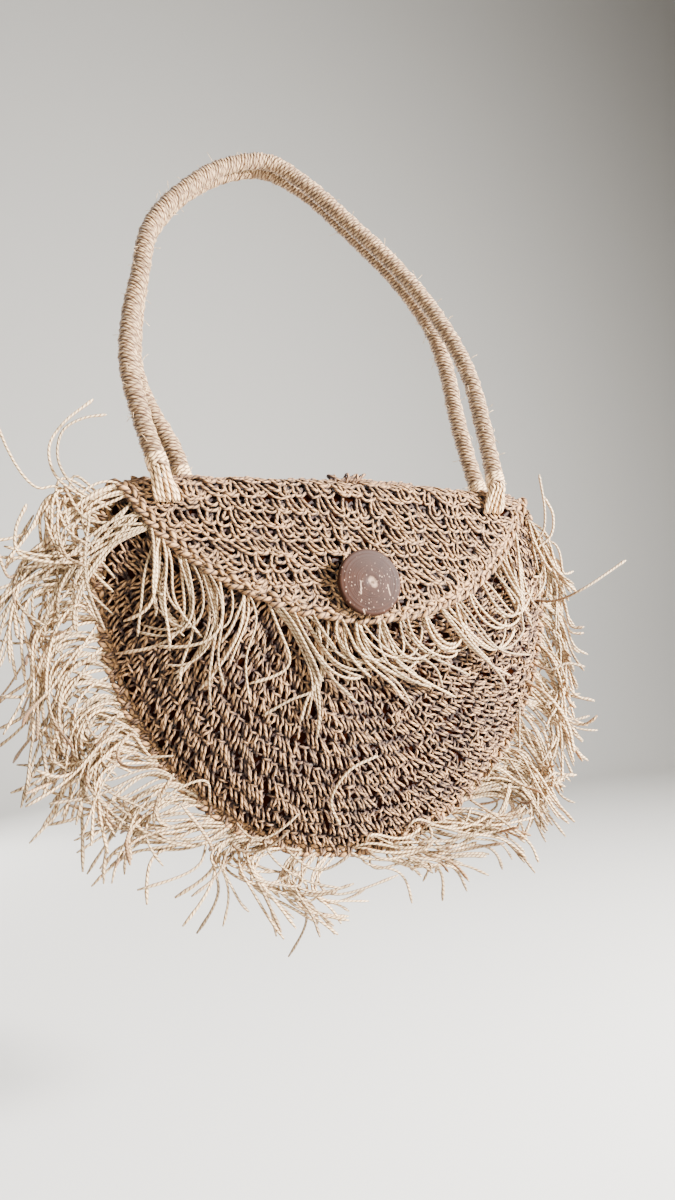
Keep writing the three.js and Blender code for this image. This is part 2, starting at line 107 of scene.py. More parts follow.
# How the flap's fringe lies from its left end (0) to its right end (1): length, and the cords' slant from straight
# down at the knot and at the tip, in degrees to the right
FLAP_FRINGE = {
    "along": (0.0, 0.12, 0.24, 0.31, 0.42, 0.55, 0.7, 0.85, 1.0),
    "length_mm": (46, 66, 74, 62, 66, 60, 64, 62, 54),
    "knot_slant": (6, 4, 0, 6, 10, 0, 6, 10, 8),
    "tip_slant": (-36, -66, -80, 40, 115, 105, 118, 90, 50),
}

# How the tuft at the flap's left corner lies, in the same terms, with places before 0 further up the corner
CORNER_FRINGE = {
    "along": (-0.06, 0.0, 0.06),
    "length_mm": (66, 74, 70),
    "knot_slant": (-95, -80, -50),
    "tip_slant": (-30, -25, -40),
}
CORNER_KNOTS = 6

# How far the flap's cords differ from these tables, in degrees of slant or in shares, first the part that a lock
# shares and then each cord's own, and the least and the most share of a length
FLAP_SPREAD = {
    "knot": (14, 14),
    "tip_share": (0.3, 0.25),
    "tip": (14, 24),
    "wave": (14, 16),
    "length": (0.14, 0.18),
}
FLAP_LENGTHS = (0.4, 1.25)

# Cords that stand out from the seam's fringe by themselves, as points in mm from knot to tip
STRAY_CORDS = (
    ((-150, -4, 44), (-169, -10, 48), (-184, -14, 59), (-187, -14, 75), (-179, -12, 90), (-161, -10, 107)),
    ((-151, -4, 41), (-175, -14, 54), (-183, -20, 68), (-180, -22, 83), (-169, -22, 91), (-155, -20, 95)),
    ((-155, -4, 18), (-176, -12, 12), (-193, -16, 11), (-212, -16, 16)),
    ((-155, -4, 11), (-188, -18, 7), (-205, -20, 12), (-206, -20, 25), (-200, -18, 40)),
    ((152, -4, 25), (159, -10, 33), (161, -12, 48), (160, -10, 77)),
    ((154, -4, 21), (166, -10, 31), (168, -12, 47), (162, -11, 60)),
    ((150, -4, -16), (158, -22, -18), (168, -38, -12), (203, -45, 8)),
    ((142, -4, -59), (148, -20, -67), (160, -25, -63), (173, -28, -66)),
    ((136, -4, -73), (144, -20, -84), (156, -25, -104), (160, -25, -125)),
    ((86, -4, -152), (102, -20, -167), (116, -28, -182), (120, -30, -194)),
)

# Single cords that lie on the front below the flap, as x and z in mm from knot to tip
LOOSE_CORDS = (
    ((-36, -20), (-34, -61), (-43, -78), (-47, -91)),
    ((-34, -20), (-38, -73), (-34, -92)),
    ((-26, -20), (-36, -70), (-54, -78), (-70, -86)),
    ((4, -115), (-15, -123), (-25, -140), (-17, -157)),
)

# Routes of the rope handles: x and height above the fold, from the left foot over the crest to the right foot
FRONT_HANDLE = {
    "foot_y": -18 * MM,
    "crest_y": 81.6 * MM,
    "x_mm": (-124, -131, -136, -131, -121, -110, -80, -43, -8, 19, 50, 84, 108, 121, 120, 116),
    "height_mm": (0, 33, 75, 113, 152, 193, 235, 267, 279, 263, 230, 189, 145, 96, 48, 0),
}
BACK_HANDLE = {
    "foot_y": 12 * MM,
    "crest_y": 95 * MM,
    "x_mm": (-102, -107, -120, -127, -125, -118, -109, -81, -43, -8, 26, 58, 92, 113, 119, 118, 118, 121),
    "height_mm": (0, 24, 53, 82, 114, 152, 193, 236, 267, 279, 264, 231, 190, 149, 109, 75, 44, 0),
}

# Lashings that sew the handle ends on: drop below the handle's foot, half width and half thickness
LASHING = {
    "drop_mm": (0, 2, 6, 10, 15, 19),
    "half_width_mm": (6.4, 6.4, 6.8, 7.6, 8.4, 7.6),
    "half_thickness_mm": (6.4, 6.2, 5, 3.4, 2.2, 1.6),
}
LASHING_GAP = 0.9 * MM
LASHING_INWARD = 0.25

# Height over a wall's middle at which a stitch's cord is wholly in painted shade, and wholly in painted light, the
# painted light left on a cord's sides, and the power with which the painted light grows towards its top
PAINTED_SHADE_HEIGHT = 0.3 * MM
PAINTED_LIGHT_HEIGHT = 2.4 * MM
SIDE_PAINTED_LIGHT = 0.08
PAINTED_LIGHT_POWER = 2.0

# Metres along its twist by which a cord of tone 1 starts later than one of tone 0
TWIST_SHIFT = 0.1

# The path of a hooked stitch's cord, down a leg and along a sweep: stitch widths along the row, rows across it, and
# cords that it stands out
HOOK = {
    "along": (-0.45, -0.47, -0.42, -0.25, 0.0, 0.3, 0.5, 0.62),
    "across": (0.92, 0.52, 0.12, -0.23, -0.4, -0.35, -0.14, 0.12),
    "lift": (-0.35, 0.15, 0.4, 0.5, 0.5, 0.42, 0.15, -0.35),
}

# Tone of the palest hooked stitches, where the close stitches and the fringe go up to 1, how loose the stitches are,
# and how far they differ by it in slant and place, and without it in lift and thickness
# The low palest tone is painted shade: it darkens the back and the flap against the front, standing in for less light
# on the flap
HOOK_PALEST = 0.38
HOOK_LOOSE = 0.19
HOOK_SPREAD = {
    "slant": 1.6,
    "own_slant": 0.8,
    "along": 0.4,
    "across": 0.5,
    "wander": 0.35,
    "lift": 0.07,
    "own_lift": 0.1,
    "thickness": 0.08,
}

# The cord behind a row of hooked stitches: rows across it, cords that it stands out, and its radius in cords
ROW_CORD = {
    "across": 0.22,
    "across_wave": 0.1,
    "across_spread": 0.06,
    "lift": -0.42,
    "lift_wave": 0.16,
    "lift_spread": 0.08,
    "radius": 0.45,
}

# The four cords of one close stitch: where each starts and ends, in stitch widths along the row and in rows across
# it, and how far it stands out, in cords
CLOSE_STITCH = {
    "start_along": (0.36, 0.86, 0.1, -0.45),
    "start_across": (-0.54, -0.54, -0.42, 0.28),
    "end_along": (-0.64, -0.14, 0.55, 0.4),
    "end_across": (0.52, 0.52, 0.42, 0.6),
    "lift": (0.5, 0.55, 0.1, 0.3),
}

# How far close stitches differ in the same terms, their cords' radius in cords, and the share of cords missed
CLOSE_SPREAD = {
    "along": 0.08,
    "own_along": 0.06,
    "slant": 0.12,
    "own_slant": 0.1,
    "bend": 0.1,
    "across": 0.06,
    "own_across": 0.08,
    "lift": 0.1,
    "own_lift": 0.12,
    "thickness": 0.1,
}
CLOSE_RADIUS = 0.32
MISSED_CORDS = 0.05

# How far straight rows end from the outline, on the walls and on the flap, the share of the flat piece's rise at
# which the flap's rows stop, the turn of the outline at which the lining stops, and the radius of a plait's cord as
# a share of the plait's half width
ROW_INSET = 1.5 * MM
FLAP_ROW_INSET = 7 * MM
FLAP_ROWS_SHARE = 0.955
LINING_TURN = math.radians(86)
PLAIT_CORD = 0.36

# The button's place on the flap, and how far it droops from the flap's slope
BUTTON_X = -2 * MM
BUTTON_Z = -10.5 * MM
BUTTON_LIFT = 4.2 * MM
BUTTON_DROOP = math.radians(12)

# Pale strokes and the eye on the button, and the eye's pit, darkened as painted shade: start, end and half width in
# button radii
PALE_MARKS = (
    ((-0.33, 0.02), (-0.36, -0.36), 0.026),
    ((0.52, -0.1), (0.58, -0.42), 0.024),
    ((-0.32, -0.82), (-0.28, -0.95), 0.026),
    ((0.02, 0.05), (0.09, -0.08), 0.13),
)
PITS = (((0.03, -0.02), (0.07, -0.03), 0.06),)
MARK_STRENGTH = 0.65

# Seeds of the chance in each piece
SEEDS = {
    "front_panel": 11,
    "back_panel": 12,
    "seam_fringe": 13,
    "flap_fringe": 14,
    "handles": 15,
    "lashings": 16,
}

# Lights and the point that they face, in the model's frame: name, place, side in metres and power in watts
LIGHT_AIM = (0.0, -0.1, -0.32)
LIGHTS = (
    ("key_light", (1.17, -1.18, 0.15), 0.3, 320.0),
    ("fill_light", (-1.2, -1.3, 0.2), 1.2, 20.0),
    ("top_light", (-0.3, 0.5, 1.2), 1.0, 16.0),
    ("back_light", (-0.5, 1.5, 0.1), 1.2, 50.0),
)


def linear(hex_colour):
    """Linear RGB of an sRGB hex colour."""
    srgb = np.array([int(hex_colour[i : i + 2], 16) for i in (1, 3, 5)]) / 255
    low = srgb / 12.92
    high = ((srgb + 0.055) / 1.055) ** 2.4
    return tuple(float(v) for v in np.where(srgb <= 0.04045, low, high))


def length(name, description, millimetres):
    """A length that a user may change, with its default in millimetres."""
    return bpy.props.FloatProperty(
        name=name,
        description=description,
        default=millimetres * MM,
        min=0.0,
        precision=4,
        unit="LENGTH",
        subtype="DISTANCE",
    )


def number(name, description, default):
    """A count that a user may change."""
    return bpy.props.IntProperty(name=name, description=description, default=default, min=1)


def colour(name, description, hex_colour):
    """A colour that a user may change, with its default as an sRGB hex value."""
    return bpy.props.FloatVectorProperty(
        name=name,
        description=description,
        default=linear(hex_colour),
        size=3,
        min=0.0,
        max=1.0,
        subtype="COLOR",
    )


class BagSizes(bpy.types.PropertyGroup):
    """Sizes of the pouch and of the cords it is made of"""

    half_width: length("Half width", "Half the width of the pouch at its widest line", 155)
    drop_below: length("Drop below", "Depth of the pouch below its widest line", 172)
    rise_above: length("Rise above", "Height of the flat round piece above its widest line", 165)
    fold_height: length("Fold height", "Height of the fold over the widest line", 64)
    flap_drop: length("Flap drop", "How far the flap hangs down from the fold", 90)
    front_fullness: length("Front fullness", "How far the front bulges from the seam", 36)
    back_fullness: length("Back fullness", "How far the back bulges from the seam", 24)
    crochet_cord: length("Crochet cord", "Thickness of the crocheted cord", 2.7)
    stitch_width: length("Stitch width", "Width of one crochet stitch along its row", 7.8)
    close_stitch: length("Close stitch", "Width of one of the front's close stitches", 6)
    row_pitch: length("Row pitch", "Distance from one crochet row to the next", 8.8)
    flap_stitch: length("Flap stitch", "Width of one of the flap's large stitches", 9.4)
    flap_pitch: length("Flap pitch", "Distance from one of the flap's rows to the next, before it is folded", 10.6)
    fringe_cord: length("Fringe cord", "Thickness of the fringe's cords", 1.8)
    seam_knots: number("Seam knots", "Knots of the fringe along the seam", 62)
    flap_knots: number("Flap knots", "Knots of the fringe along the flap's edge", 22)
    seam_knot_cords: number("Cords per seam knot", "Cords that hang from each of the seam's knots, on average", 8)
    flap_knot_cords: number("Cords per flap knot", "Cords that hang from each of the flap's knots, on average", 4)
    handle_radius: length("Handle radius", "Radius of the rope handles", 6.5)
    wrap_width: length("Wrap width", "Width of one turn of cord round a handle", 2.8)
    button_radius: length("Button radius", "Radius of the coconut-shell button", 21.2)
    button_thickness: length("Button thickness", "Thickness of the coconut-shell button", 5)


class BagColours(bpy.types.PropertyGroup):
    """Colours of the cords, the button and the stage"""

    crochet: colour("Crochet", "Lit colour of the crocheted seagrass cord", "#E4AC70")
    # Painted shade of the crochet cord: its furrows and its sunken and side parts
    crochet_painted_shade: colour("Crochet groove", "Colour between the plies of the crocheted cord", "#260B03")
    # Painted shade: the near-black lining stands for the bag's shaded inside
    inside: colour("Inside", "Colour of the crochet's shaded inside", "#200A03")
    fringe: colour("Fringe", "Lit colour of the fringe's cords", "#F0D2A0")
    # Painted shade of the fringe's cords
    fringe_painted_shade: colour("Fringe groove", "Colour between the plies of the fringe's cords", "#6E4622")
    handle: colour("Handle", "Lit colour of the cord round the handles", "#E4BE8C")
    # Painted shade of the handles' cord
    handle_painted_shade: colour("Handle groove", "Colour between the plies of the handles' cord", "#4E3018")
    coconut: colour("Coconut", "Colour of the polished coconut shell", "#2E1A11")
    # Painted reflection on the button's upper part
    coconut_painted_reflection: colour("Coconut haze", "Colour of the coconut shell's hazy part", "#342621")
    coconut_fleck: colour("Coconut fleck", "Colour of the flecks in the coconut shell", "#B0917A")
    floor: colour("Floor", "Colour of the pale floor", "#C6C3BD")


Patch = namedtuple("Patch", "points loops sizes uv tone wear finish")
Stitches = namedtuple("Stitches", "u v per_along per_across")
Fold = namedtuple("Fold", "shrink start end")
Style = namedtuple("Style", "cords radius spacing width pitch loose")


def unit(vectors):
    """Vectors of length one along the given ones."""
    return vectors / np.maximum(np.linalg.norm(vectors, axis=-1, keepdims=True), 1e-12)


def smoothstep(value, low, high):
    """0 below low, 1 above high, and the smooth cubic 3t^2 - 2t^3 between them."""
    t = np.clip((value - low) / (high - low), 0, 1)
    return t * t * (3 - 2 * t)


def arc_length(points):
    """Distance along each path from its first point, for paths of m points in the last axis but one."""
    steps = np.linalg.norm(np.diff(points, axis=-2), axis=-1)
    return np.concatenate([np.zeros(steps.shape[:-1] + (1,)), np.cumsum(steps, axis=-1)], axis=-1)


def circle(angle, first, second):
    """Unit vectors at angles in the plane of two directions: cosine times the first plus sine times the second."""
    return np.cos(angle)[..., None] * first + np.sin(angle)[..., None] * second


def points_at(line, run, at):
    """Points of a line at distances along it."""
    return np.stack([np.interp(at, run, line[:, axis]) for axis in range(3)], axis=-1)


def evened(paths):
    """Paths with each inner point averaged with its two neighbours, in shares of 2 to 1 and 1."""
    paths[:, 1:-1] = (paths[:, :-2] + 2 * paths[:, 1:-1] + paths[:, 2:]) / 4
    return paths


def fullness(s, x, z):
    """Share of the pouch's fullness: (1 - r^2.5)^0.75, with r the share of the way to the outline, less the closing
    towards the fold."""
    reach = np.where(z < 0, s.drop_below, s.rise_above)
    share = np.minimum(1, np.hypot(x / s.half_width, z / reach))
    closing = smoothstep(z, CLOSING_HEIGHT, s.fold_height)
    return (1 - share**CROWN_REACH) ** CROWN_POWER * (1 - (1 - FOLD_FULLNESS_SHARE) * closing)


def front_depth(s, x, z):
    """Distance of the front wall's middle in front of the seam."""
    return SEAM_SETBACK + s.front_fullness * fullness(s, x, z)


def back_depth(s, x, z):
    """Distance of the back wall's middle behind the seam."""
    return SEAM_SETBACK + s.back_fullness * fullness(s, x, z)


def flap_depth(s, x, z):
    """Distance of the flap's middle in front of the seam: one wall and a gap over the front."""
    return front_depth(s, x, z) + WALL + LAYER_GAP


def fold_of(s):
    """Where the fold starts and ends on the flat back, and how far the flap is drawn up over the fullness."""
    shrink = s.flap_drop / (s.rise_above - s.fold_height)
    height = s.fold_height
    radius = (flap_depth(s, 0.0, height) + back_depth(s, 0.0, height)) / 2
    start = height - radius - WALL / 2
    return Fold(shrink, start, height + (height - start) / shrink)


def flap_height(s, flat):
    """Height of a place on the flap from its height on the flat piece."""
    return s.fold_height - (flat - s.fold_height) * fold_of(s).shrink


def half_width_at(s, flat):
    """Half the width of the round outline at a height on the flat piece: the ellipse's x at that height."""
    reach = np.where(flat < 0, s.drop_below, s.rise_above)
    return s.half_width * np.sqrt(np.maximum(0, 1 - (flat / reach) ** 2))


def front_rows(s):
    """The front wall over x and z."""
    return lambda x, z: np.stack([x, -front_depth(s, x, z), z], axis=-1)


def back_rows(s):
    """The back wall over x and the flat height: up the back, round a half circle at the fold, down as the flap."""
    fold = fold_of(s)

    def surface(x, flat):
        back_y = back_depth(s, x, fold.start)
        front_y = -flap_depth(s, x, fold.start)
        turn = np.pi * np.clip((flat - fold.start) / (fold.end - fold.start), 0, 1)
        radius = (back_y - front_y) / 2
        flap_z = flap_height(s, flat)
        y = (back_y + front_y) / 2 + radius * np.cos(turn)
        z = fold.start + radius * np.sin(turn)
        y = np.where(flat < fold.start, back_depth(s, x, flat), np.where(flat > fold.end, -flap_depth(s, x, flap_z), y))
        z = np.where(flat < fold.start, flat, np.where(flat > fold.end, flap_z, z))
        return np.stack([x, y, z], axis=-1)

    return surface


def rounds(s, depth, side):
    """A wall over the turn round the outline and the share of the way from the middle to the outline."""

    def surface(turn, share):
        x = s.half_width * share * np.cos(turn)
        z = np.where(np.sin(turn) < 0, s.drop_below, s.rise_above) * share * np.sin(turn)
        return np.stack([x, side * depth(s, x, z), z], axis=-1)

    return surface


def lifted(surface, outward, u, v, lift):
    """Points over a surface, and its normals there: the surface's point plus lift times the normal, which is the cross
    product of its two slopes."""
    step = 1e-5
    along = surface(u + step, v) - surface(u - step, v)
    across = surface(u, v + step) - surface(u, v - step)
    normal = outward * unit(np.cross(along, across))
    return surface(u, v) + lift[..., None] * normal, normal


def even_rows(surface, u, low, high, pitch):
    """Places of rows a pitch apart along the line of constant u from low to high."""
    samples = 400
    v = np.linspace(low, high, samples)
    run = arc_length(surface(np.full_like(v, u), v))
    count = max(1, round(run[-1] / pitch))
    return np.interp((np.arange(count) + 0.5) * run[-1] / count, run, v)


def lay_stitches(surface, places, ends, width, heading):
    """Even stitches along each row from its one end to its other, with how far u goes per metre along the row and v per
    metre across the rows."""
    samples, step = 200, 1e-4
    laid = []
    for place, (low, high) in zip(places, ends):
        u = np.linspace(low, high, samples)
        v = np.full_like(u, place)
        run = arc_length(surface(u, v))
        count = max(2, round(run[-1] / width))
        at = (np.arange(count) + 0.5) * run[-1] / count
        centre = np.interp(at, run, u)
        per_along = np.interp(at, run, np.gradient(u, run))
        level = np.full_like(centre, place)
        slope = np.linalg.norm(surface(centre, level + step) - surface(centre, level), axis=-1) / step
        laid.append(Stitches(centre, level, per_along, heading / slope))
    return laid


def transported(tangents):
    """A direction across each path, carried along it without twist: at each station the last one is made square to the
    path again. The first is the axis most across the path."""
    across = np.empty_like(tangents)
    first = np.eye(3)[np.argmin(np.abs(tangents[:, 0]), axis=-1)]
    for station in range(tangents.shape[1]):
        tangent = tangents[:, station]
        first = unit(first - np.sum(first * tangent, axis=-1, keepdims=True) * tangent)
        across[:, station] = first
    return across


def ring_patch(rings, run, tone, wear, finish):
    """Closed skins of N stacks of m rings with k points each: quads between neighbouring rings, and a cap on the first
    and the last. UV is the share round the ring and the metres along the stack. Each stack has its tone, and each
    point its share of painted light, where 0 is painted shade."""
    count, stations, sides, _ = rings.shape
    base = np.arange(count)[:, None, None] * stations * sides
    i = np.arange(stations - 1)[None, :, None]
    j = np.arange(sides)[None, None, :]
    following = (j + 1) % sides
    corners = [base + i * sides + j, base + i * sides + following]
    corners += [corners[1] + sides, corners[0] + sides]
    quads = np.stack(np.broadcast_arrays(*corners), axis=-1)
    shape = quads.shape[:3]
    low = np.broadcast_to(run[:, :-1, None], shape)
    high = np.broadcast_to(run[:, 1:, None], shape)
    left = np.broadcast_to(j / sides, shape)
    right = left + 1 / sides
    quad_uv = np.stack([left, low, right, low, right, high, left, high], axis=-1)
    start_caps = base[:, 0] + np.arange(sides)[::-1]
    end_caps = base[:, 0] + (stations - 1) * sides + np.arange(sides)
    middle = np.full((count, sides), 0.5)
    start_uv = np.stack([middle, np.broadcast_to(run[:, :1], middle.shape)], axis=-1)
    end_uv = np.stack([middle, np.broadcast_to(run[:, -1:], middle.shape)], axis=-1)
    loops = np.concatenate([quads.ravel(), start_caps.ravel(), end_caps.ravel()])
    sizes = np.concatenate([np.full(quads.size // 4, 4), np.full(2 * count, sides)])
    uv = np.concatenate([quad_uv.reshape(-1, 2), start_uv.reshape(-1, 2), end_uv.reshape(-1, 2)])
    return Patch(
        rings.reshape(-1, 3),
        loops,
        sizes,
        uv,
        np.repeat(tone, stations * sides),
        np.broadcast_to(wear, rings.shape[:3]).ravel(),
        np.full(len(sizes), finish),
    )


def tubes(paths, radius, sides, tone, finish=0, facing=None, lift=0.0, both=False):
    """Round tubes along N paths of m points: each ring is the circle square to its path. Where the direction that the
    cords face is given, their painted light is the share of the way out from the side in painted shade to the top in
    painted light, or from the middle to both sides: sunken parts and sides get painted shade, tops painted light."""
    tangents = unit(np.gradient(paths, axis=1))
    across = transported(tangents)
    other = np.cross(tangents, across)
    angle = 2 * np.pi * np.arange(sides) / sides
    radii = np.broadcast_to(radius, paths.shape[:2])[..., None]
    spokes = circle(angle, across[:, :, None], other[:, :, None])
    run = arc_length(paths) + TWIST_SHIFT * tone[:, None]
    wear = 1.0
    if facing is not None:
        upward = np.sum(spokes * facing[:, :, None], axis=-1)
        upward = np.abs(upward) if both else upward
        height = np.broadcast_to(lift, paths.shape[:2])[..., None] + radii * upward
        # Painted shade where a cord sinks into the wall and on its sides, painted light on its top
        wear = smoothstep(height, PAINTED_SHADE_HEIGHT, PAINTED_LIGHT_HEIGHT) * np.clip(upward, SIDE_PAINTED_LIGHT, 1) ** PAINTED_LIGHT_POWER
    return ring_patch(paths[:, :, None] + radii[..., None] * spokes, run, tone, wear, finish)


def join(patches):
    """One patch of several, with the later ones' loops counted on from the earlier ones' points."""
    counts = np.cumsum([0] + [len(p.points) for p in patches])
    counted = [p._replace(loops=p.loops + offset) for p, offset in zip(patches, counts)]
    return Patch(*(np.concatenate(values) for values in zip(*counted)))


def hang_point(s):
    """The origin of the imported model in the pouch's frame: under the crest, midway between the two handles."""
    y = (FRONT_HANDLE["crest_y"] + BACK_HANDLE["crest_y"]) / 2
    return np.array([0.0, y, s.fold_height + CREST_HEIGHT - s.handle_radius])


def make_piece(s, name, patch, finishes, nodes):
    """Puts a patch into a mesh object in the model's frame and ties it to the frame."""
    mesh = bpy.data.meshes.new(name)
    mesh.vertices.add(len(patch.points))
    mesh.vertices.foreach_set("co", (patch.points - hang_point(s)).astype(np.float32).ravel())
    mesh.loops.add(len(patch.loops))
    mesh.loops.foreach_set("vertex_index", patch.loops.astype(np.int32))
    mesh.polygons.add(len(patch.sizes))
    mesh.polygons.foreach_set("loop_start", (np.cumsum(patch.sizes) - patch.sizes).astype(np.int32))
    mesh.polygons.foreach_set("material_index", patch.finish.astype(np.int32))
    mesh.update(calc_edges=True)
    mesh.uv_layers.new(name="UVMap").data.foreach_set("uv", patch.uv.astype(np.float32).ravel())
    for attribute, values in (("tone", patch.tone), ("wear", patch.wear)):
        mesh.attributes.new(attribute, "FLOAT", "POINT").data.foreach_set("value", values.astype(np.float32))
    mesh.shade_smooth()
    for finish in finishes:
        mesh.materials.append(finish)
    piece = bpy.data.objects.new(name, mesh)
    bpy.context.scene.collection.objects.link(piece)
    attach(piece, "root")
    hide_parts(*nodes)


def set_inputs(node, inputs):
    """Links a node's inputs to sockets, or sets them to values."""
    for key, value in inputs.items():
        if isinstance(value, bpy.types.NodeSocket):
            node.id_data.links.new(value, node.inputs[key])
        else:
            node.inputs[key].default_value = value


def add_node(tree, kind, inputs, output=0, **settings):
    """Adds a shader node with its settings and inputs, and gives one of its outputs."""
    node = tree.nodes.new("ShaderNode" + kind)
    for key, value in settings.items():
        setattr(node, key, value)
    set_inputs(node, inputs)
    return node.outputs[output]


def opaque(rgb, strength=1.0):
    """RGBA of a colour times a strength."""
    return (*(strength * v for v in rgb), 1.0)


def new_material(name):
    """A material, its emptied node tree, and the tree's Principled shader."""
    material = bpy.data.materials.get(name) or bpy.data.materials.new(name)
    material.use_nodes = True
    tree = material.node_tree
    tree.nodes.clear()
    surface = add_node(tree, "BsdfPrincipled", {})
    set_inputs(tree.nodes.new("ShaderNodeOutputMaterial"), {"Surface": surface})
    return material, tree, surface.node


def twisted_cord(name, lit, painted_shade, twist_pitch, roughness):
    """Seagrass cord twisted from two plies of dried leaf: matte, with a furrow that winds round the cord, fine fibres
    along the plies and an uneven straw colour from cord to cord. The dark colour is painted shade in the furrow and on
    the cord's sunken and side parts, and the lit colour is painted light on its tops."""
    material, tree, shader = new_material(name)
    plies = 2
    fibre_width = 0.35 * MM
    mottle_size = 18 * MM
    ply_relief = 0.35 * MM
    place = add_node(tree, "UVMap", {}, uv_map="UVMap")
    split = add_node(tree, "SeparateXYZ", {0: place}).node.outputs
    turns = add_node(tree, "Math", {0: split["Y"], 1: plies / twist_pitch}, operation="MULTIPLY")
    phase = add_node(tree, "Math", {0: split["X"], 1: float(plies), 2: turns}, operation="MULTIPLY_ADD")
    wave = add_node(tree, "Math", {0: phase, 1: 0.5}, operation="PINGPONG")
    round_ply = add_node(
        tree, "MapRange", {"Value": wave, "From Min": 0.0, "From Max": 0.3}, interpolation_type="SMOOTHSTEP"
    )
    spin = add_node(tree, "CombineXYZ", {"X": phase, "Y": split["Y"], "Z": split["X"]})
    fibre = add_node(
        tree, "TexNoise", {"Vector": spin, "Scale": twist_pitch / fibre_width, "Detail": 2.0}, noise_dimensions="2D"
    )
    body = add_node(tree, "TexCoord", {}, "Object")
    mottle = add_node(tree, "TexNoise", {"Vector": body, "Scale": 1 / mottle_size, "Detail": 3.0})
    tone = add_node(tree, "Attribute", {}, "Fac", attribute_name="tone")
    shade = add_node(tree, "Math", {0: tone, 1: mottle}, operation="ADD")
    light = add_node(
        tree, "MapRange", {"Value": shade, "From Min": 0.3, "From Max": 1.6, "To Min": 0.5, "To Max": 1.3}
    )
    streak = add_node(
        tree, "MapRange", {"Value": fibre, "From Min": 0.25, "From Max": 0.75, "To Min": 0.7, "To Max": 1.2}
    )
    # Painted light and shade: the lit colour on the plies' crowns where a point is marked lit, the dark colour in the
    # furrows and where a point is marked shaded
    wear = add_node(tree, "Attribute", {}, "Fac", attribute_name="wear")
    lit_share = add_node(tree, "Math", {0: round_ply, 1: wear}, operation="MULTIPLY")
    strength = add_node(tree, "Math", {0: light, 1: streak}, operation="MULTIPLY")
    base = add_node(tree, "Mix", {0: lit_share, 6: opaque(painted_shade), 7: opaque(lit)}, 2, data_type="RGBA")
    shaded = add_node(tree, "VectorMath", {0: base, "Scale": strength}, operation="SCALE")
    height = add_node(tree, "Math", {0: fibre, 1: 0.25, 2: round_ply}, operation="MULTIPLY_ADD")
    bump = add_node(tree, "Bump", {"Strength": 0.8, "Distance": ply_relief, "Height": height})
    set_inputs(
        shader, {"Base Color": shaded, "Normal": bump, "Roughness": roughness, "IOR": 1.45, "Sheen Weight": 0.06}
    )
    return material


def crochet_finish(c):
    """Crocheted seagrass: thick tan cord, pulled tight in the stitches."""
    return twisted_cord(
        "twisted_seagrass_crochet", c.crochet, c.crochet_painted_shade, twist_pitch=9 * MM, roughness=0.78
    )


def fringe_finish(c):
    """Loose seagrass cord of the fringes: paler and a little glossier than the crochet."""
    return twisted_cord("twisted_seagrass_fringe", c.fringe, c.fringe_painted_shade, twist_pitch=6 * MM, roughness=0.68)


def handle_finish(c):
    """Seagrass cord wound round the handles: cream, with painted light on top of each turn."""
    return twisted_cord("wound_seagrass_handle", c.handle, c.handle_painted_shade, twist_pitch=9 * MM, roughness=0.72)


def painted_shade_finish(c):
    """Painted shade for the crochet's shaded inner side: matte dark brown between the stitches."""
    material, tree, shader = new_material("crochet_inside_painted_shade")
    leaf_width = 3 * MM
    leaf_relief = 0.8 * MM
    body = add_node(tree, "TexCoord", {}, "Object")
    leaf = add_node(tree, "TexNoise", {"Vector": body, "Scale": 1 / leaf_width, "Detail": 4.0})
    base = add_node(tree, "Mix", {0: leaf, 6: opaque(c.inside, 0.25), 7: opaque(c.inside)}, 2, data_type="RGBA")
    bump = add_node(tree, "Bump", {"Strength": 1.0, "Distance": leaf_relief, "Height": leaf})
    set_inputs(shader, {"Base Color": base, "Normal": bump, "Roughness": 0.95, "Specular IOR Level": 0.0})
    return material


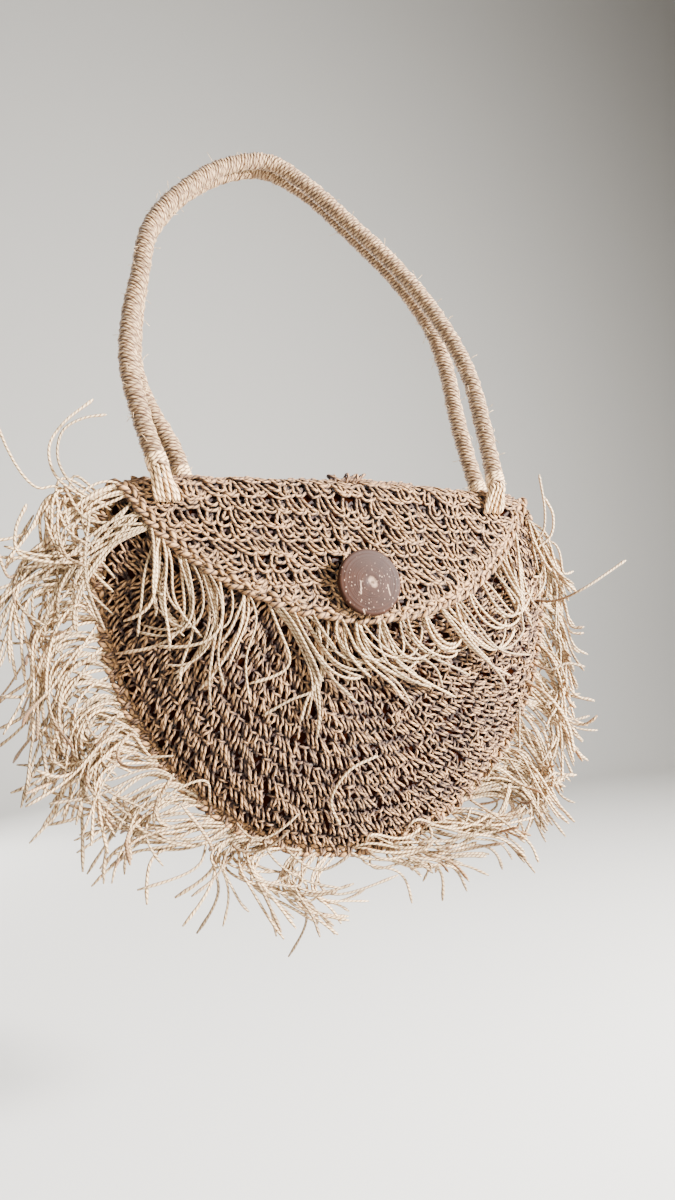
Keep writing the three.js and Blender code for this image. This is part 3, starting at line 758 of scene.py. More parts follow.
def coconut_finish(c):
    """Coconut shell, turned and polished: satin brown with a painted reflection towards the top, fine turning rings,
    short pale fibre flecks, a few pale strokes, and a pale eye with a pit in the middle darkened as painted shade. UV
    counts in button radii."""
    material, tree, shader = new_material("polished_coconut_shell")
    fleck_spacing = 0.12
    ring_spacing = 0.06
    warp = 0.06
    ring_relief = 0.3 * MM
    place = add_node(tree, "UVMap", {}, uv_map="UVMap")
    cloud = add_node(tree, "TexNoise", {"Vector": place, "Scale": 3.0, "Detail": 5.0})
    ragged = add_node(tree, "TexNoise", {"Vector": place, "Scale": 14.0, "Detail": 4.0}, "Color")
    centred = add_node(tree, "VectorMath", {0: ragged, 1: (0.5, 0.5, 0.5)}, operation="SUBTRACT")
    warped = add_node(tree, "VectorMath", {0: centred, 1: (warp, warp, 0.0), 2: place}, operation="MULTIPLY_ADD")
    upward = add_node(tree, "SeparateXYZ", {0: place}, "Y")
    radius = add_node(tree, "VectorMath", {0: place}, "Value", operation="LENGTH")
    rings = add_node(tree, "TexNoise", {"W": radius, "Scale": 1 / ring_spacing, "Detail": 1.0}, noise_dimensions="1D")
    depth = add_node(tree, "Math", {0: rings, 1: 0.3, 2: cloud}, operation="MULTIPLY_ADD")
    shade = add_node(tree, "MapRange", {"Value": depth, "From Min": 0.4, "From Max": 0.9})
    dark, light = opaque(c.coconut, 0.65), opaque(c.coconut, 1.3)
    body = add_node(tree, "Mix", {0: shade, 6: dark, 7: light}, 2, data_type="RGBA")
    # Painted reflection: the button's upper part turns to the pale reflection colour
    painted_reflection = add_node(tree, "MapRange", {"Value": upward, "From Min": 0.2, "From Max": 1.0})
    base = add_node(tree, "Mix", {0: painted_reflection, 6: body, 7: opaque(c.coconut_painted_reflection)}, 2, data_type="RGBA")
    lengthwise = add_node(tree, "Mapping", {"Vector": warped, "Rotation": (0, 0, 0.35), "Scale": (1.5, 0.8, 1)})
    cells = add_node(
        tree,
        "TexVoronoi",
        {"Vector": lengthwise, "Scale": 1 / fleck_spacing, "Randomness": 1.0},
        feature="F1",
        voronoi_dimensions="2D",
    )
    chance = add_node(tree, "SeparateColor", {0: cells.node.outputs["Color"]})
    size = add_node(tree, "MapRange", {"Value": chance, "From Min": 0.2, "From Max": 1.0, "To Max": 0.24})
    lessened = add_node(tree, "Math", {0: painted_reflection, 1: -0.16, 2: size}, operation="MULTIPLY_ADD")
    inside = add_node(tree, "Math", {0: lessened, 1: cells}, operation="SUBTRACT")
    flecks = add_node(tree, "MapRange", {"Value": inside, "From Min": 0.0, "From Max": 0.12, "To Max": MARK_STRENGTH})
    masks = []
    for lines, mask in ((PALE_MARKS, flecks), (PITS, 0.0)):
        for line in lines:
            stroke = stroke_mask(tree, warped, *line)
            mask = add_node(tree, "Math", {0: mask, 1: stroke}, operation="MAXIMUM")
        masks.append(mask)
    pale, pit = masks
    marked = add_node(tree, "Mix", {0: pale, 6: base, 7: opaque(c.coconut_fleck)}, 2, data_type="RGBA")
    # Painted shade in the eye's pit: near-black coconut where the pit is marked
    pitted = add_node(tree, "Mix", {0: pit, 6: marked, 7: opaque(c.coconut, 0.1)}, 2, data_type="RGBA")
    height = add_node(tree, "Math", {0: rings, 1: pit}, operation="SUBTRACT")
    bump = add_node(tree, "Bump", {"Strength": 0.3, "Distance": ring_relief, "Height": height})
    set_inputs(
        shader, {"Base Color": pitted, "Normal": bump, "Roughness": 0.5, "IOR": 1.5, "Specular IOR Level": 0.06}
    )
    return material


def stroke_mask(tree, place, start, end, half_width):
    """Mask of a stroke from one point to another: the marks' strength within 0.3 half widths of its line, 0 outside."""
    along = (end[0] - start[0], end[1] - start[1])
    square = along[0] ** 2 + along[1] ** 2
    per_along = (along[0] / square, along[1] / square, 0.0)
    from_start = add_node(tree, "VectorMath", {0: place, 1: (*start, 0.0)}, operation="SUBTRACT")
    share = add_node(tree, "VectorMath", {0: from_start, 1: per_along}, "Value", operation="DOT_PRODUCT")
    on_line = add_node(tree, "Clamp", {"Value": share})
    nearest = add_node(tree, "VectorMath", {0: (*along, 0.0), "Scale": on_line}, operation="SCALE")
    away = add_node(tree, "VectorMath", {0: from_start, 1: nearest}, "Value", operation="DISTANCE")
    return add_node(
        tree,
        "MapRange",
        {"Value": away, "From Min": half_width, "From Max": 0.3 * half_width, "To Max": MARK_STRENGTH},
    )


def floor_finish(c):
    """Matte painted board, even and pale."""
    material, _, shader = new_material("matte_painted_floor")
    set_inputs(shader, {"Base Color": opaque(c.floor), "Roughness": 0.9})
    return material


def painted_shade_lining(s, surface, outward, top):
    """The inner layer of a crochet wall, a dark sheet of painted shade for the bag's shaded inside: at heights down the
    half disc and at those given above it, a closed ring along the layer's outer face and back along its inner one."""
    rows, columns, inner_lift, outer_lift = 26, 40, -WALL / 2, -0.9 * MM
    heights = np.concatenate([s.drop_below * np.sin(np.linspace(-1, 0, rows) * LINING_TURN), top])
    side = np.sin(np.pi * (np.arange(columns + 1) / columns - 0.5))
    u = outward * half_width_at(s, heights)[:, None] * side
    v = np.broadcast_to(heights[:, None], u.shape)
    outer, inner = (lifted(surface, outward, u, v, np.full(u.shape, lift))[0] for lift in (outer_lift, inner_lift))
    rings = np.concatenate([outer, inner[:, ::-1]], axis=1)[None]
    return ring_patch(rings, arc_length(rings[:, :, 0]), tone=np.zeros(1), wear=1.0, finish=1)


def wandering(count, rng):
    """Random numbers that go up and down slowly: the running sum of nine, kept to the same spread."""
    window = 9
    return np.convolve(rng.normal(0, 1, count), np.ones(window) / math.sqrt(window), "same")


def stitch_cords(s, surface, outward, stitches, style, rng):
    """Hooked stitches of cords side by side: each cord follows the hook's path, moved square to it by the cord's place
    beside the others. Stitches vary in width, slant and place, and both ends dip under the stitches beside them."""
    n = len(stitches.u)
    k = style.cords
    beside = np.tile(np.arange(k) - (k - 1) / 2, n)[:, None] * style.spacing
    u, v, per_along, per_across = (np.repeat(values, k)[:, None] for values in stitches)
    swell, shear, shift, sink = (np.repeat(rng.normal(0, 1, (n, 1)), k, axis=0) for _ in range(4))
    wander = np.repeat(wandering(n, rng), k)[:, None]
    fine = rng.normal(0, 1, (4, n * k, 1))
    loose = style.loose
    spread = HOOK_SPREAD
    along, across, lift = (np.array(HOOK[key]) for key in ("along", "across", "lift"))
    across = across * (1 + loose * fine[0]) * style.pitch
    slant = spread["slant"] * shear + spread["own_slant"] * fine[1]
    along = along * (1 + loose * swell) * style.width + across * loose * slant
    slope = np.stack([np.gradient(along, axis=1), np.gradient(across, axis=1)])
    slope = slope / np.linalg.norm(slope, axis=0)
    along = along - beside * slope[1] + spread["along"] * loose * sink * style.width
    moved = spread["across"] * shift + spread["wander"] * wander
    across = across + beside * slope[0] + loose * moved * style.pitch
    lift = (lift + spread["lift"] * sink + spread["own_lift"] * fine[2]) * s.crochet_cord
    paths, normals = lifted(surface, outward, u + along * per_along, v + across * per_across, lift)
    radius = style.radius * (1 + spread["thickness"] * fine[3])
    tone = rng.uniform(0, HOOK_PALEST, n * k)
    # Painted shade where the cords sink into the wall and on their sides, painted light on their tops
    return tubes(paths, radius, sides=5, tone=tone, facing=normals, lift=lift)


def close_stitches(s, surface, outward, stitches, rng):
    """Close slanted stitches of four cords each: for q from -1 to 1 a cord runs straight from its start to its end with
    a slight S of sin(pi q), and dips by q^2 under the rows at both ends. A few cords are missed."""
    n = len(stitches.u)
    k = len(CLOSE_STITCH["lift"])
    u, v, per_along, per_across = (np.repeat(values, k)[:, None] for values in stitches)
    table = {key: np.tile(values, n)[:, None] for key, values in CLOSE_STITCH.items()}
    shift, rise, slant, stand = (np.repeat(rng.normal(0, 1, (n, 1)), k, axis=0) for _ in range(4))
    own = rng.normal(0, 1, (6, n * k, 1))
    spread = CLOSE_SPREAD
    q = np.linspace(-1, 1, 6)
    t = (q + 1) / 2
    along = table["start_along"] * (1 - t) + table["end_along"] * t
    along = along + spread["along"] * shift + spread["own_along"] * own[0]
    along = along - (spread["slant"] * slant + spread["own_slant"] * own[1]) * q
    along = along + spread["bend"] * own[2] * np.sin(np.pi * q)
    across = table["start_across"] * (1 - t) + table["end_across"] * t
    across = across + spread["across"] * rise + spread["own_across"] * own[3]
    lift = (table["lift"] + spread["lift"] * stand + spread["own_lift"] * own[4] - q**2) * s.crochet_cord
    u = u + along * s.close_stitch * per_along
    v = v + across * s.row_pitch * per_across
    paths, normals = lifted(surface, outward, u, v, lift)
    radius = CLOSE_RADIUS * s.crochet_cord * (1 + spread["thickness"] * own[5])
    kept = rng.random(n * k) > MISSED_CORDS
    tone = rng.uniform(0, 1, np.count_nonzero(kept))
    # Painted shade where the cords sink into the wall and on their sides, painted light on their tops
    return tubes(paths[kept], radius[kept], sides=5, tone=tone, facing=normals[kept], lift=lift[kept])


def row_cord(s, surface, outward, stitches, pitch, rng):
    """The cord that runs along one row behind its stitches, in waves four points to a stitch: it goes up and down as a
    sine and in and out as a cosine."""
    points, cord = 4, ROW_CORD
    k = np.arange(points * len(stitches.u) - points + 1) / points
    index = np.arange(len(stitches.u))
    u, v, per_across = (np.interp(k, index, getattr(stitches, key)) for key in ("u", "v", "per_across"))
    turn = 2 * np.pi * k
    across = cord["across"] + cord["across_wave"] * np.sin(turn) + rng.normal(0, cord["across_spread"], k.shape)
    lift = cord["lift"] + cord["lift_wave"] * np.cos(turn) + rng.normal(0, cord["lift_spread"], k.shape)
    lift = lift * s.crochet_cord
    path, normals = lifted(surface, outward, u, v + across * pitch * per_across, lift)
    radius = s.crochet_cord * cord["radius"]
    tone = rng.uniform(0, 1, 1)
    # Painted shade on the row cord where it lies low behind the stitches and on its sides
    return tubes(path[None], radius, sides=5, tone=tone, facing=normals[None], lift=lift[None])


def all_of(laid):
    """The stitches of all rows in one set."""
    return Stitches(*(np.concatenate(values) for values in zip(*laid)))


def crochet(s, surface, outward, laid, style, rng):
    """All stitches and row cords of a field of rows."""
    cords = [row_cord(s, surface, outward, stitches, style.pitch, rng) for stitches in laid]
    return join([stitch_cords(s, surface, outward, all_of(laid), style, rng), *cords])


def lower_rounds(s, surface, width):
    """Stitches of half a disc of crochet rounds below the widest line, from the seam inwards."""
    innermost = 0.02
    places = even_rows(surface, -np.pi / 2, 1.0, innermost, s.row_pitch)
    return lay_stitches(surface, places, [(-np.pi, 0.0)] * len(places), width, -1.0)


def straight_rows(s, surface, low, high, inset, width, pitch, heading):
    """Stitches of straight rows across the round outline, less an inset, between two heights on the flat piece."""
    places = even_rows(surface, 0.0, low, high, pitch)
    ends = [(-w, w) for w in half_width_at(s, places) - inset]
    return lay_stitches(surface, places, ends, width, heading)


def fold_crest(s, rng):
    """The corded crest of the fold: a loose plait that lies along it and waves up and down, with a knot near its
    middle."""
    surface = back_rows(s)
    fold = fold_of(s)
    inset, sway, sway_length = 5 * MM, 1.5 * MM, 17 * MM
    rise, long_wave, long_length = 1.6 * MM, 1.1 * MM, 23 * MM
    short_wave, short_length = 0.7 * MM, 6 * MM
    knot_places, knot_rise = np.array([-3, 5, 12]) * MM, 1 * MM
    crest = (fold.start + fold.end) / 2
    half = half_width_at(s, crest) - inset
    u = np.linspace(-half, half, 260)
    v = np.full_like(u, crest) + sway * np.sin(u / sway_length)
    lift = rise + long_wave * np.sin(u / long_length + 1) + short_wave * np.sin(u / short_length)
    path, normal = lifted(surface, -1.0, u, v, lift)
    across = np.cross(unit(np.gradient(path, axis=0)), normal)
    cords = plait(path, across, width=3.4 * MM, thickness=2.2 * MM, link=8 * MM, rng=rng)
    near = np.searchsorted(u, knot_places)
    raised = path[near] + knot_rise * normal[near]
    along = np.broadcast_to(RIGHTWARD, raised.shape)
    knot = knot_wraps(raised, along, normal[near], radius=3.2 * MM, cord=2 * MM, leaning=2.8 * MM, rng=rng)
    crest_cords = join([cords, knot])
    return crest_cords._replace(finish=np.zeros_like(crest_cords.finish))


def edge_round(s, style, rng):
    """One round of crochet along the flap's edge and the fold's ends."""
    edge_share = 0.983
    surface = back_rounds(s)
    turn = np.arcsin(fold_of(s).start / s.rise_above)
    laid = lay_stitches(surface, [edge_share], [(turn, np.pi - turn)], style.width, -1.0)
    return crochet(s, surface, 1.0, laid, style, rng)


def seam_point(s, turn, outset):
    """Point on the seam at a turn of its outline, moved out in the seam's plane, and the outward direction there."""
    reach = np.where(np.sin(turn) < 0, s.drop_below, s.rise_above)
    zero = np.zeros_like(turn)
    outward = unit(np.stack([np.cos(turn) / s.half_width, zero, np.sin(turn) / reach], axis=-1))
    point = np.stack([s.half_width * np.cos(turn), zero, reach * np.sin(turn)], axis=-1)
    return point + outset * outward, outward


def seam_turn(s, along):
    """Turn of the outline at a share of the way along the seam."""
    above = np.arcsin(SEAM_TOP_HEIGHT / s.rise_above)
    return -np.pi - above + (np.pi + 2 * above) * along


def back_rounds(s):
    """The back wall and flap over the turn round the flat piece's outline and the share of the way to it."""
    rows = back_rows(s)
    return lambda turn, share: rows(s.half_width * share * np.cos(turn), s.rise_above * share * np.sin(turn))


def flap_edge_point(s, turn, outset):
    """Point beside the edge of the folded back piece, and the direction out from the edge: away from a point further
    in, square to the edge, and level with the bag's front."""
    surface = back_rounds(s)
    step, further_in = 1e-3, 0.93
    edge = np.ones_like(turn)
    tangent = unit(surface(turn - step, edge) - surface(turn + step, edge))
    outward = (surface(turn, edge) - surface(turn, further_in * edge)) * (RIGHTWARD - DOWN)
    outward = unit(outward - np.sum(outward * tangent, axis=-1, keepdims=True) * tangent)
    return surface(turn, edge) + outset * outward, outward


def flap_turn(along):
    """Turn of the round outline at a share of the way along the flap's edge, from left to right."""
    return np.pi - FLAP_FRINGE_TURN + (2 * FLAP_FRINGE_TURN - np.pi) * along


def plait(path, outward, width, thickness, link, rng):
    """A flat plait of three cords along a path: cord k swings sin(a) across and sin(2a) through the plait, with
    a = 2 pi (run / (3 links) + k / 3). Its width and its cords' thickness go up and down along it."""
    sway, sway_length = 0.15, 7 * MM
    swell, swell_length, spread = 0.12, 2.3 * MM, 0.04
    cord = width * PLAIT_CORD
    run = arc_length(path)
    tangent = unit(np.gradient(path, axis=0))
    through = np.cross(tangent, outward)
    angle = 2 * np.pi * (run / (3 * link) + np.arange(3)[:, None] / 3)
    reach = (width - cord) * (1 + sway * np.sin(run / sway_length))[:, None]
    swing = reach * np.sin(angle)[..., None] * outward
    swing = swing + (thickness - cord) * np.sin(2 * angle)[..., None] * through
    uneven = 1 + swell * np.sin(run / swell_length) + rng.normal(0, spread, (3, len(run)))
    # Painted light on the plait's two faces, painted shade where its cords face along the plait's width
    facing = np.broadcast_to(through, swing.shape)
    look = {"tone": rng.uniform(0.1, 0.6, 3), "finish": 1, "facing": facing}
    return tubes(path + swing, cord * uneven, sides=6, lift=PAINTED_LIGHT_HEIGHT, both=True, **look)


def knot_wraps(centre, tangent, outward, radius, cord, leaning, rng):
    """Two turns of cord round the plait at each knot: circles about it that lean a little along it."""
    turns, points, overlap = 2, 15, 0.2
    spacing, shift_spread, size_spread = 1.1 * cord, 0.2 * MM, 0.05
    angle = np.linspace(-overlap, 2 * np.pi + overlap, points)
    wraps, along, out = (np.repeat(values, turns, axis=0) for values in (centre, tangent, outward))
    other = np.cross(along, out)
    n = len(wraps)
    shift = np.tile((np.arange(turns) - 0.5) * spacing, len(centre)) + rng.normal(0, shift_spread, n)
    lean = rng.normal(0.0, leaning, n)
    size = radius * rng.normal(1, size_spread, n)
    spokes = circle(angle, out[:, None], other[:, None])
    slide = shift[:, None] + lean[:, None] * np.cos(angle)
    paths = wraps[:, None] + size[:, None, None] * spokes + slide[..., None] * along[:, None]
    tone = rng.uniform(0.3, 1, n)
    # Painted light on the outside of each turn, painted shade on its inside and sides
    return tubes(paths, cord / 2, sides=5, tone=tone, finish=1, facing=spokes, lift=0.3 * MM)


def loose_cords(s, paths, rng):
    """Fringe cords along paths: even, a little swollen at the frayed tip, then pulled in, with painted light in front
    and behind and painted shade on their sides.
    """
    count, stations, _ = paths.shape
    tip_swell, tip_taper, uneven = 0.3, 0.7, 0.12
    t = np.linspace(0, 1, stations)
    swell = 1 + tip_swell * smoothstep(t, 0.9, 0.97) - tip_taper * smoothstep(t, 0.975, 1.0)
    radius = s.fringe_cord / 2 * swell * rng.normal(1, uneven, (count, 1))
    facing = np.broadcast_to(BACKWARD, paths.shape)
    tone = rng.uniform(0, 1, count)
    return tubes(paths, radius, sides=5, tone=tone, facing=facing, lift=PAINTED_LIGHT_HEIGHT, both=True)


def at_knots(knots, count, rng):
    """The knot of each of the cords, by chance, in order, and the cords' shares of the way along the edge."""
    spread = 0.16
    index = np.sort(rng.integers(0, knots, count))
    return index, np.clip((index + 0.5 + rng.normal(0, spread, count)) / knots, 0, 1)


def per_knot(index, spread, own, rng):
    """Random offsets of cords: one part that a knot's cords share, and a part of each cord's own."""
    return rng.normal(0, spread, index[-1] + 1)[index] + rng.normal(0, own, len(index))


def gathered(paths, lock):
    """Draws the cords of each lock together: at a share t of its length a cord goes the draw times sin(pi t^1.5) of the
    way to the lock's mean path."""
    mean = np.zeros((lock[-1] + 1, *paths.shape[1:]))
    np.add.at(mean, lock, paths)
    mean = mean / np.maximum(1, np.bincount(lock))[:, None, None]
    draw = LOCK_DRAW * np.sin(np.pi * np.linspace(0, 1, paths.shape[1]) ** LOCK_DRAW_POWER)
    return paths + draw[:, None] * (mean[lock] - paths)


def seam_strands(s, rng):
    """Cords of the seam's fringe: the heading of each goes from its knot's to its tip's along its length, with a
    smooth random curl, and the path is the running sum of headings. Far out to the side x nears a limit as tanh."""
    stations = 22
    bend_speed, bend_power = (1.1, 1.9), 1.4
    curl, ripple, ripple_turn = 0.6, 0.3, 6
    curl_level = np.array([1.0, 0.5, 1.0])
    count = s.seam_knots * s.seam_knot_cords
    knot, along = at_knots(s.seam_knots, count, rng)
    lock = knot // SEAM_LOCK_KNOTS
    value = {key: np.interp(along, SEAM_FRINGE["along"], SEAM_FRINGE[key]) for key in SEAM_FRINGE}
    first, last = (
        np.stack(
            [sign * value[f"{place}_{way}"] + per_knot(lock, *SEAM_SPREAD[way], rng) for way, sign in SEAM_WAYS],
            axis=-1,
        )
        for place in ("knot", "tip")
    )
    reach = value["length_mm"] * MM * np.clip(1 + per_knot(knot, *SEAM_SPREAD["length"], rng), *SEAM_LENGTHS)
    point, _ = seam_point(s, seam_turn(s, along), SEAM_OUTSET)
    t = (np.arange(stations) / (stations - 1))[None, :, None]
    bend = np.minimum(1, t * rng.uniform(*bend_speed, (count, 1, 1))) ** bend_power
    curled = rng.normal(0, curl, (count, 1, 3)) * t**2
    curled = curled + rng.normal(0, ripple, (count, 1, 3)) * np.sin(ripple_turn * t)
    heading = unit(first[:, None] * (1 - bend) + last[:, None] * bend + curled * curl_level)
    steps = heading * (reach / (stations - 1))[:, None, None]
    paths = gathered(point[:, None] + np.cumsum(steps, axis=1) - steps[:, :1], lock)
    paths = clear_of_pouch(s, paths)
    far = np.maximum(0.0, np.abs(paths[..., 0]) - FRINGE_EASE_FROM)
    eased = FRINGE_EASE_FROM + FRINGE_EASE * np.tanh(far / FRINGE_EASE)
    paths[..., 0] = np.where(far > 0, np.sign(paths[..., 0]) * eased, paths[..., 0])
    return loose_cords(s, paths, rng)


def clear_of_pouch(s, paths):
    """Moves the points of cords that would lie in the pouch out to just in front of it or behind it, then evens out
    the paths."""
    x, y, z = np.moveaxis(paths, -1, 0)
    reach = np.where(z < 0, s.drop_below, s.rise_above)
    inside = (np.hypot(x / s.half_width, z / reach) < 1) & (z < s.fold_height)
    margin = WALL / 2 + 2 * MM
    front = -front_depth(s, x, z) - margin
    back = back_depth(s, x, z) + margin
    moved = np.where(y < 0, np.minimum(y, front), np.maximum(y, back))
    paths = np.stack([x, np.where(inside, moved, y), z], axis=-1)
    for _ in range(3):
        paths = evened(paths)
    return paths


def flap_strands(s, fringe, knots, rng):
    """Cords of the flap's fringe: they leave the flap's edge from underneath and lie on the front, with a slant that
    goes from the knot's to the tip's along their length."""
    stations = 22
    under_edge, lowest, loft, settled = 1.2 * MM, 1.6 * MM, 7 * MM, 0.4
    bend_power, wave_turn = 1.3, 5
    count = knots * s.flap_knot_cords
    knot, share = at_knots(knots, count, rng)
    along = fringe["along"][0] + (fringe["along"][-1] - fringe["along"][0]) * share
    lock = knot // FLAP_LOCK_KNOTS
    value = {key: np.interp(along, fringe["along"], fringe[key]) for key in fringe}
    point, _ = flap_edge_point(s, flap_turn(along), FLAP_RIDGE_RADIUS)
    point = point + under_edge * BACKWARD
    t = (np.arange(stations) / (stations - 1))[None]
    first = value["knot_slant"] + per_knot(lock, *FLAP_SPREAD["knot"], rng)
    last = value["tip_slant"] * (1 + per_knot(lock, *FLAP_SPREAD["tip_share"], rng))
    last = last + per_knot(lock, *FLAP_SPREAD["tip"], rng)
    wave = per_knot(lock, *FLAP_SPREAD["wave"], rng)[:, None] * np.sin(wave_turn * t)
    slant = np.radians(first[:, None] + (last - first)[:, None] * t**bend_power + wave * t)
    reach = value["length_mm"] * MM * np.clip(1 + per_knot(lock, *FLAP_SPREAD["length"], rng), *FLAP_LENGTHS)
    step = reach[:, None] / (stations - 1)
    x = point[:, :1] + np.cumsum(step * np.sin(slant), axis=1)
    z = point[:, 2:] - np.cumsum(step * np.cos(slant), axis=1)
    x, z = np.moveaxis(gathered(np.stack([x, z], axis=-1), lock), -1, 0)
    layer = WALL / 2 + lowest + rng.uniform(0, loft, (count, 1)) * (0.3 + 0.7 * np.sin(np.pi * t))
    lying = -front_depth(s, x, z) - layer
    y = point[:, 1:2] + (lying - point[:, 1:2]) * smoothstep(t, 0.0, settled)
    return loose_cords(s, np.stack([x, np.minimum(y, lying), z], axis=-1), rng)


def smooth_line(p, spacing):
    """Even points on the centripetal Catmull-Rom curve through points: the cubic Hermite of each stretch, with slopes
    weighted by the square root of the stretches' lengths."""
    samples = 24
    ends = np.concatenate([2 * p[:1] - p[1:2], p, 2 * p[-1:] - p[-2:-1]])
    a, b, c, d = ends[:-3], ends[1:-2], ends[2:-1], ends[3:]
    before, here, after = (np.linalg.norm(v, axis=-1, keepdims=True) ** 0.5 for v in (b - a, c - b, d - c))
    first = here * ((b - a) / before - (c - a) / (before + here) + (c - b) / here)
    last = here * ((c - b) / here - (d - b) / (here + after) + (d - c) / after)
    t = np.linspace(0, 1, samples, endpoint=False)[None, :, None]
    b, c, first, last = (v[:, None] for v in (b, c, first, last))
    curve = (2 * t**3 - 3 * t**2 + 1) * b + (t**3 - 2 * t**2 + t) * first
    curve = curve + (3 * t**2 - 2 * t**3) * c + (t**3 - t**2) * last
    line = np.concatenate([curve.reshape(-1, 3), p[-1:]])
    run = arc_length(line)
    return points_at(line, run, np.linspace(0, run[-1], round(run[-1] / spacing) + 1))


def rope_line(s, route, spacing):
    """Even points along a handle's route: y goes from the foot's to the crest's with the height."""
    height = np.array(route["height_mm"]) * MM
    y = route["foot_y"] + (route["crest_y"] - route["foot_y"]) * height / CREST_HEIGHT
    return smooth_line(np.stack([np.array(route["x_mm"]) * MM, y, s.fold_height + height], axis=-1), spacing)


def single_cords(s, lines, rng):
    """Fringe cords along lines of their own, one by one."""
    spacing = 3 * MM
    laid = [smooth_line(line, spacing)[None] for line in lines]
    return [loose_cords(s, path, rng) for path in laid]


def rope_frame(line):
    """Tangent and two directions across a rope's line at each of its points, carried along without twist."""
    tangent = unit(np.gradient(line, axis=0))
    across = transported(tangent[None])[0]
    return tangent, across, np.cross(tangent, across)


def rope(s, route, rng):
    """A handle: a core with cords wound round it side by side, a lead of six cords' width to the turn, and a few
    single turns that bind each end. The lay drifts and the cords stand out unevenly, as sines along the rope."""
    starts, points_per_turn = 6, 14
    drift_share, short_drift, short_length, long_drift, long_length = 0.4, 0.06, 13 * MM, 0.05, 31 * MM
    bump, bump_length = 0.35 * MM, 9 * MM
    lead = starts * s.wrap_width
    line = rope_line(s, route, lead / points_per_turn)
    _, across, other = rope_frame(line)
    run = arc_length(line)
    cord = 0.5 * s.wrap_width
    phase = np.arange(starts)[:, None] / starts
    drift = short_drift * np.sin(run / short_length + 2 * phase) + long_drift * np.sin(run / long_length)
    offset = circle(2 * np.pi * (phase - run / lead + drift_share * drift), across, other)
    proud = s.handle_radius - cord + bump * np.sin(run / bump_length + 9 * phase)
    paths = line + proud[..., None] * offset
    # Painted light on the top of each turn of cord, painted shade on its sides between the turns
    wraps = tubes(paths, cord * 0.98, sides=5, tone=rng.uniform(0.4, 1, starts), facing=offset, lift=0.2 * MM)
    core = tubes(line[None, ::4], s.handle_radius - 1.6 * cord, sides=8, tone=np.zeros(1))
    bound = [binding(s, line, run, end, cord, rng) for end in (0, 1)]
    return join([wraps, core, *bound, fibre_ends(s, line, rng)])


def fibre_ends(s, line, rng):
    """Short stiff fibres that stand out of a handle: lines from its surface that lean along it and droop a little."""
    count, clear_of_ends, points = 130, 4, 4
    sunk, fibre_radius = 0.8 * MM, 0.18 * MM
    tangent, across, other = rope_frame(line)
    at = rng.integers(clear_of_ends, len(line) - clear_of_ends, count)
    outward = circle(rng.uniform(0, 2 * np.pi, count), across[at], other[at])
    heading = unit(outward * rng.uniform(0.3, 1, (count, 1)) + tangent[at] * rng.normal(0, 0.8, (count, 1)))
    reach = rng.uniform(2, 8, (count, 1, 1)) * MM
    t = np.linspace(0, 1, points)[None, :, None]
    droop = rng.normal(0, 0.2, (count, 1, 3)) * t**2
    roots = line[at][:, None] + (s.handle_radius - sunk) * outward[:, None]
    paths = roots + reach * t * (heading[:, None] + droop)
    return tubes(paths, fibre_radius, sides=3, tone=rng.uniform(0.6, 1, count))


def binding(s, line, run, end, cord, rng):
    """Three close turns of cord round the rope near one of its ends."""
    turns, points_per_turn, first, spacing = 3, 14, 1.2 * MM, 1.8
    angle = np.linspace(0, 2 * np.pi * turns, points_per_turn * turns)
    start = first + np.linspace(0, turns * spacing * cord, len(angle))
    at = start if end == 0 else run[-1] - start
    centre = points_at(line, run, at)
    _, across, other = rope_frame(centre)
    path = centre + (s.handle_radius - 0.6 * cord) * circle(angle, across, other)
    return tubes(path[None], cord, sides=5, tone=rng.uniform(0.5, 1, 1))


def face_y(s, side, x, z):
    """Y of the bag's outside at a place on its face, in front (side -1) or behind (1), round the fold too."""
    fold = fold_of(s)
    back_y = back_depth(s, x, fold.start)
    front_y = -flap_depth(s, x, fold.start)
    radius = (back_y - front_y) / 2 + WALL / 2
    rise = np.clip(z - fold.start, 0, radius)
    rounded = (back_y + front_y) / 2 + side * np.sqrt(radius**2 - rise**2)
    flat = -flap_depth(s, x, z) - WALL / 2 if side < 0 else back_depth(s, x, z) + WALL / 2
    return np.where(z <= fold.start, flat, rounded)


def lashing(s, route, end, side, rng):
    """The cords that sew one handle end on: spread round the rope's section at its foot, they flatten to a fan on the
    crochet as the section does, and their tips go in under a stitch."""
    cord, cords, stations = 1.05 * MM, 13, 22
    turn_spread, size_spread = 0.2, 0.06
    start_above, tips_in = 1.5 * MM, np.array([0.6, 2.2]) * MM
    line = rope_line(s, route, 1 * MM)
    foot = line[0] if end == 0 else line[-1]
    outward = unit(line[0] - line[1] if end == 0 else line[-1] - line[-2])
    drop, width, thickness = (np.array(LASHING[key]) * MM for key in ("drop_mm", "half_width_mm", "half_thickness_mm"))
    centre = foot + (JOIN_GAP + drop)[:, None] * outward
    centre[2:, 2] = foot[2] - drop[2:]
    centre[2:, 0] = foot[0] - np.sign(foot[0]) * LASHING_INWARD * drop[2:]
    centre[2:, 1] = face_y(s, side, centre[2:, 0], centre[2:, 2]) + side * (LASHING_GAP + thickness[2:])
    centre = np.concatenate([foot - start_above * outward[None], centre])
    width, thickness = (np.concatenate([values[:1], values]) for values in (width, thickness))
    angle = 2 * np.pi * (np.arange(cords)[:, None] + rng.uniform(-turn_spread, turn_spread, (cords, 1))) / cords
    wide = np.maximum(0.0, width - cord) * np.cos(angle)
    thick = np.maximum(0.0, thickness - cord) * np.sin(angle)
    guides = centre + wide[..., None] * RIGHTWARD + thick[..., None] * side * BACKWARD
    index = np.arange(len(centre))
    at = np.linspace(0, len(centre) - 1, stations)
    paths = evened(np.stack([points_at(guide, index, at) for guide in guides]))
    paths[:, -2:, 1] -= side * tips_in
    radius = cord * rng.normal(1, size_spread, (cords, 1))
    return tubes(paths, radius, sides=6, tone=rng.uniform(0.5, 1, cords))


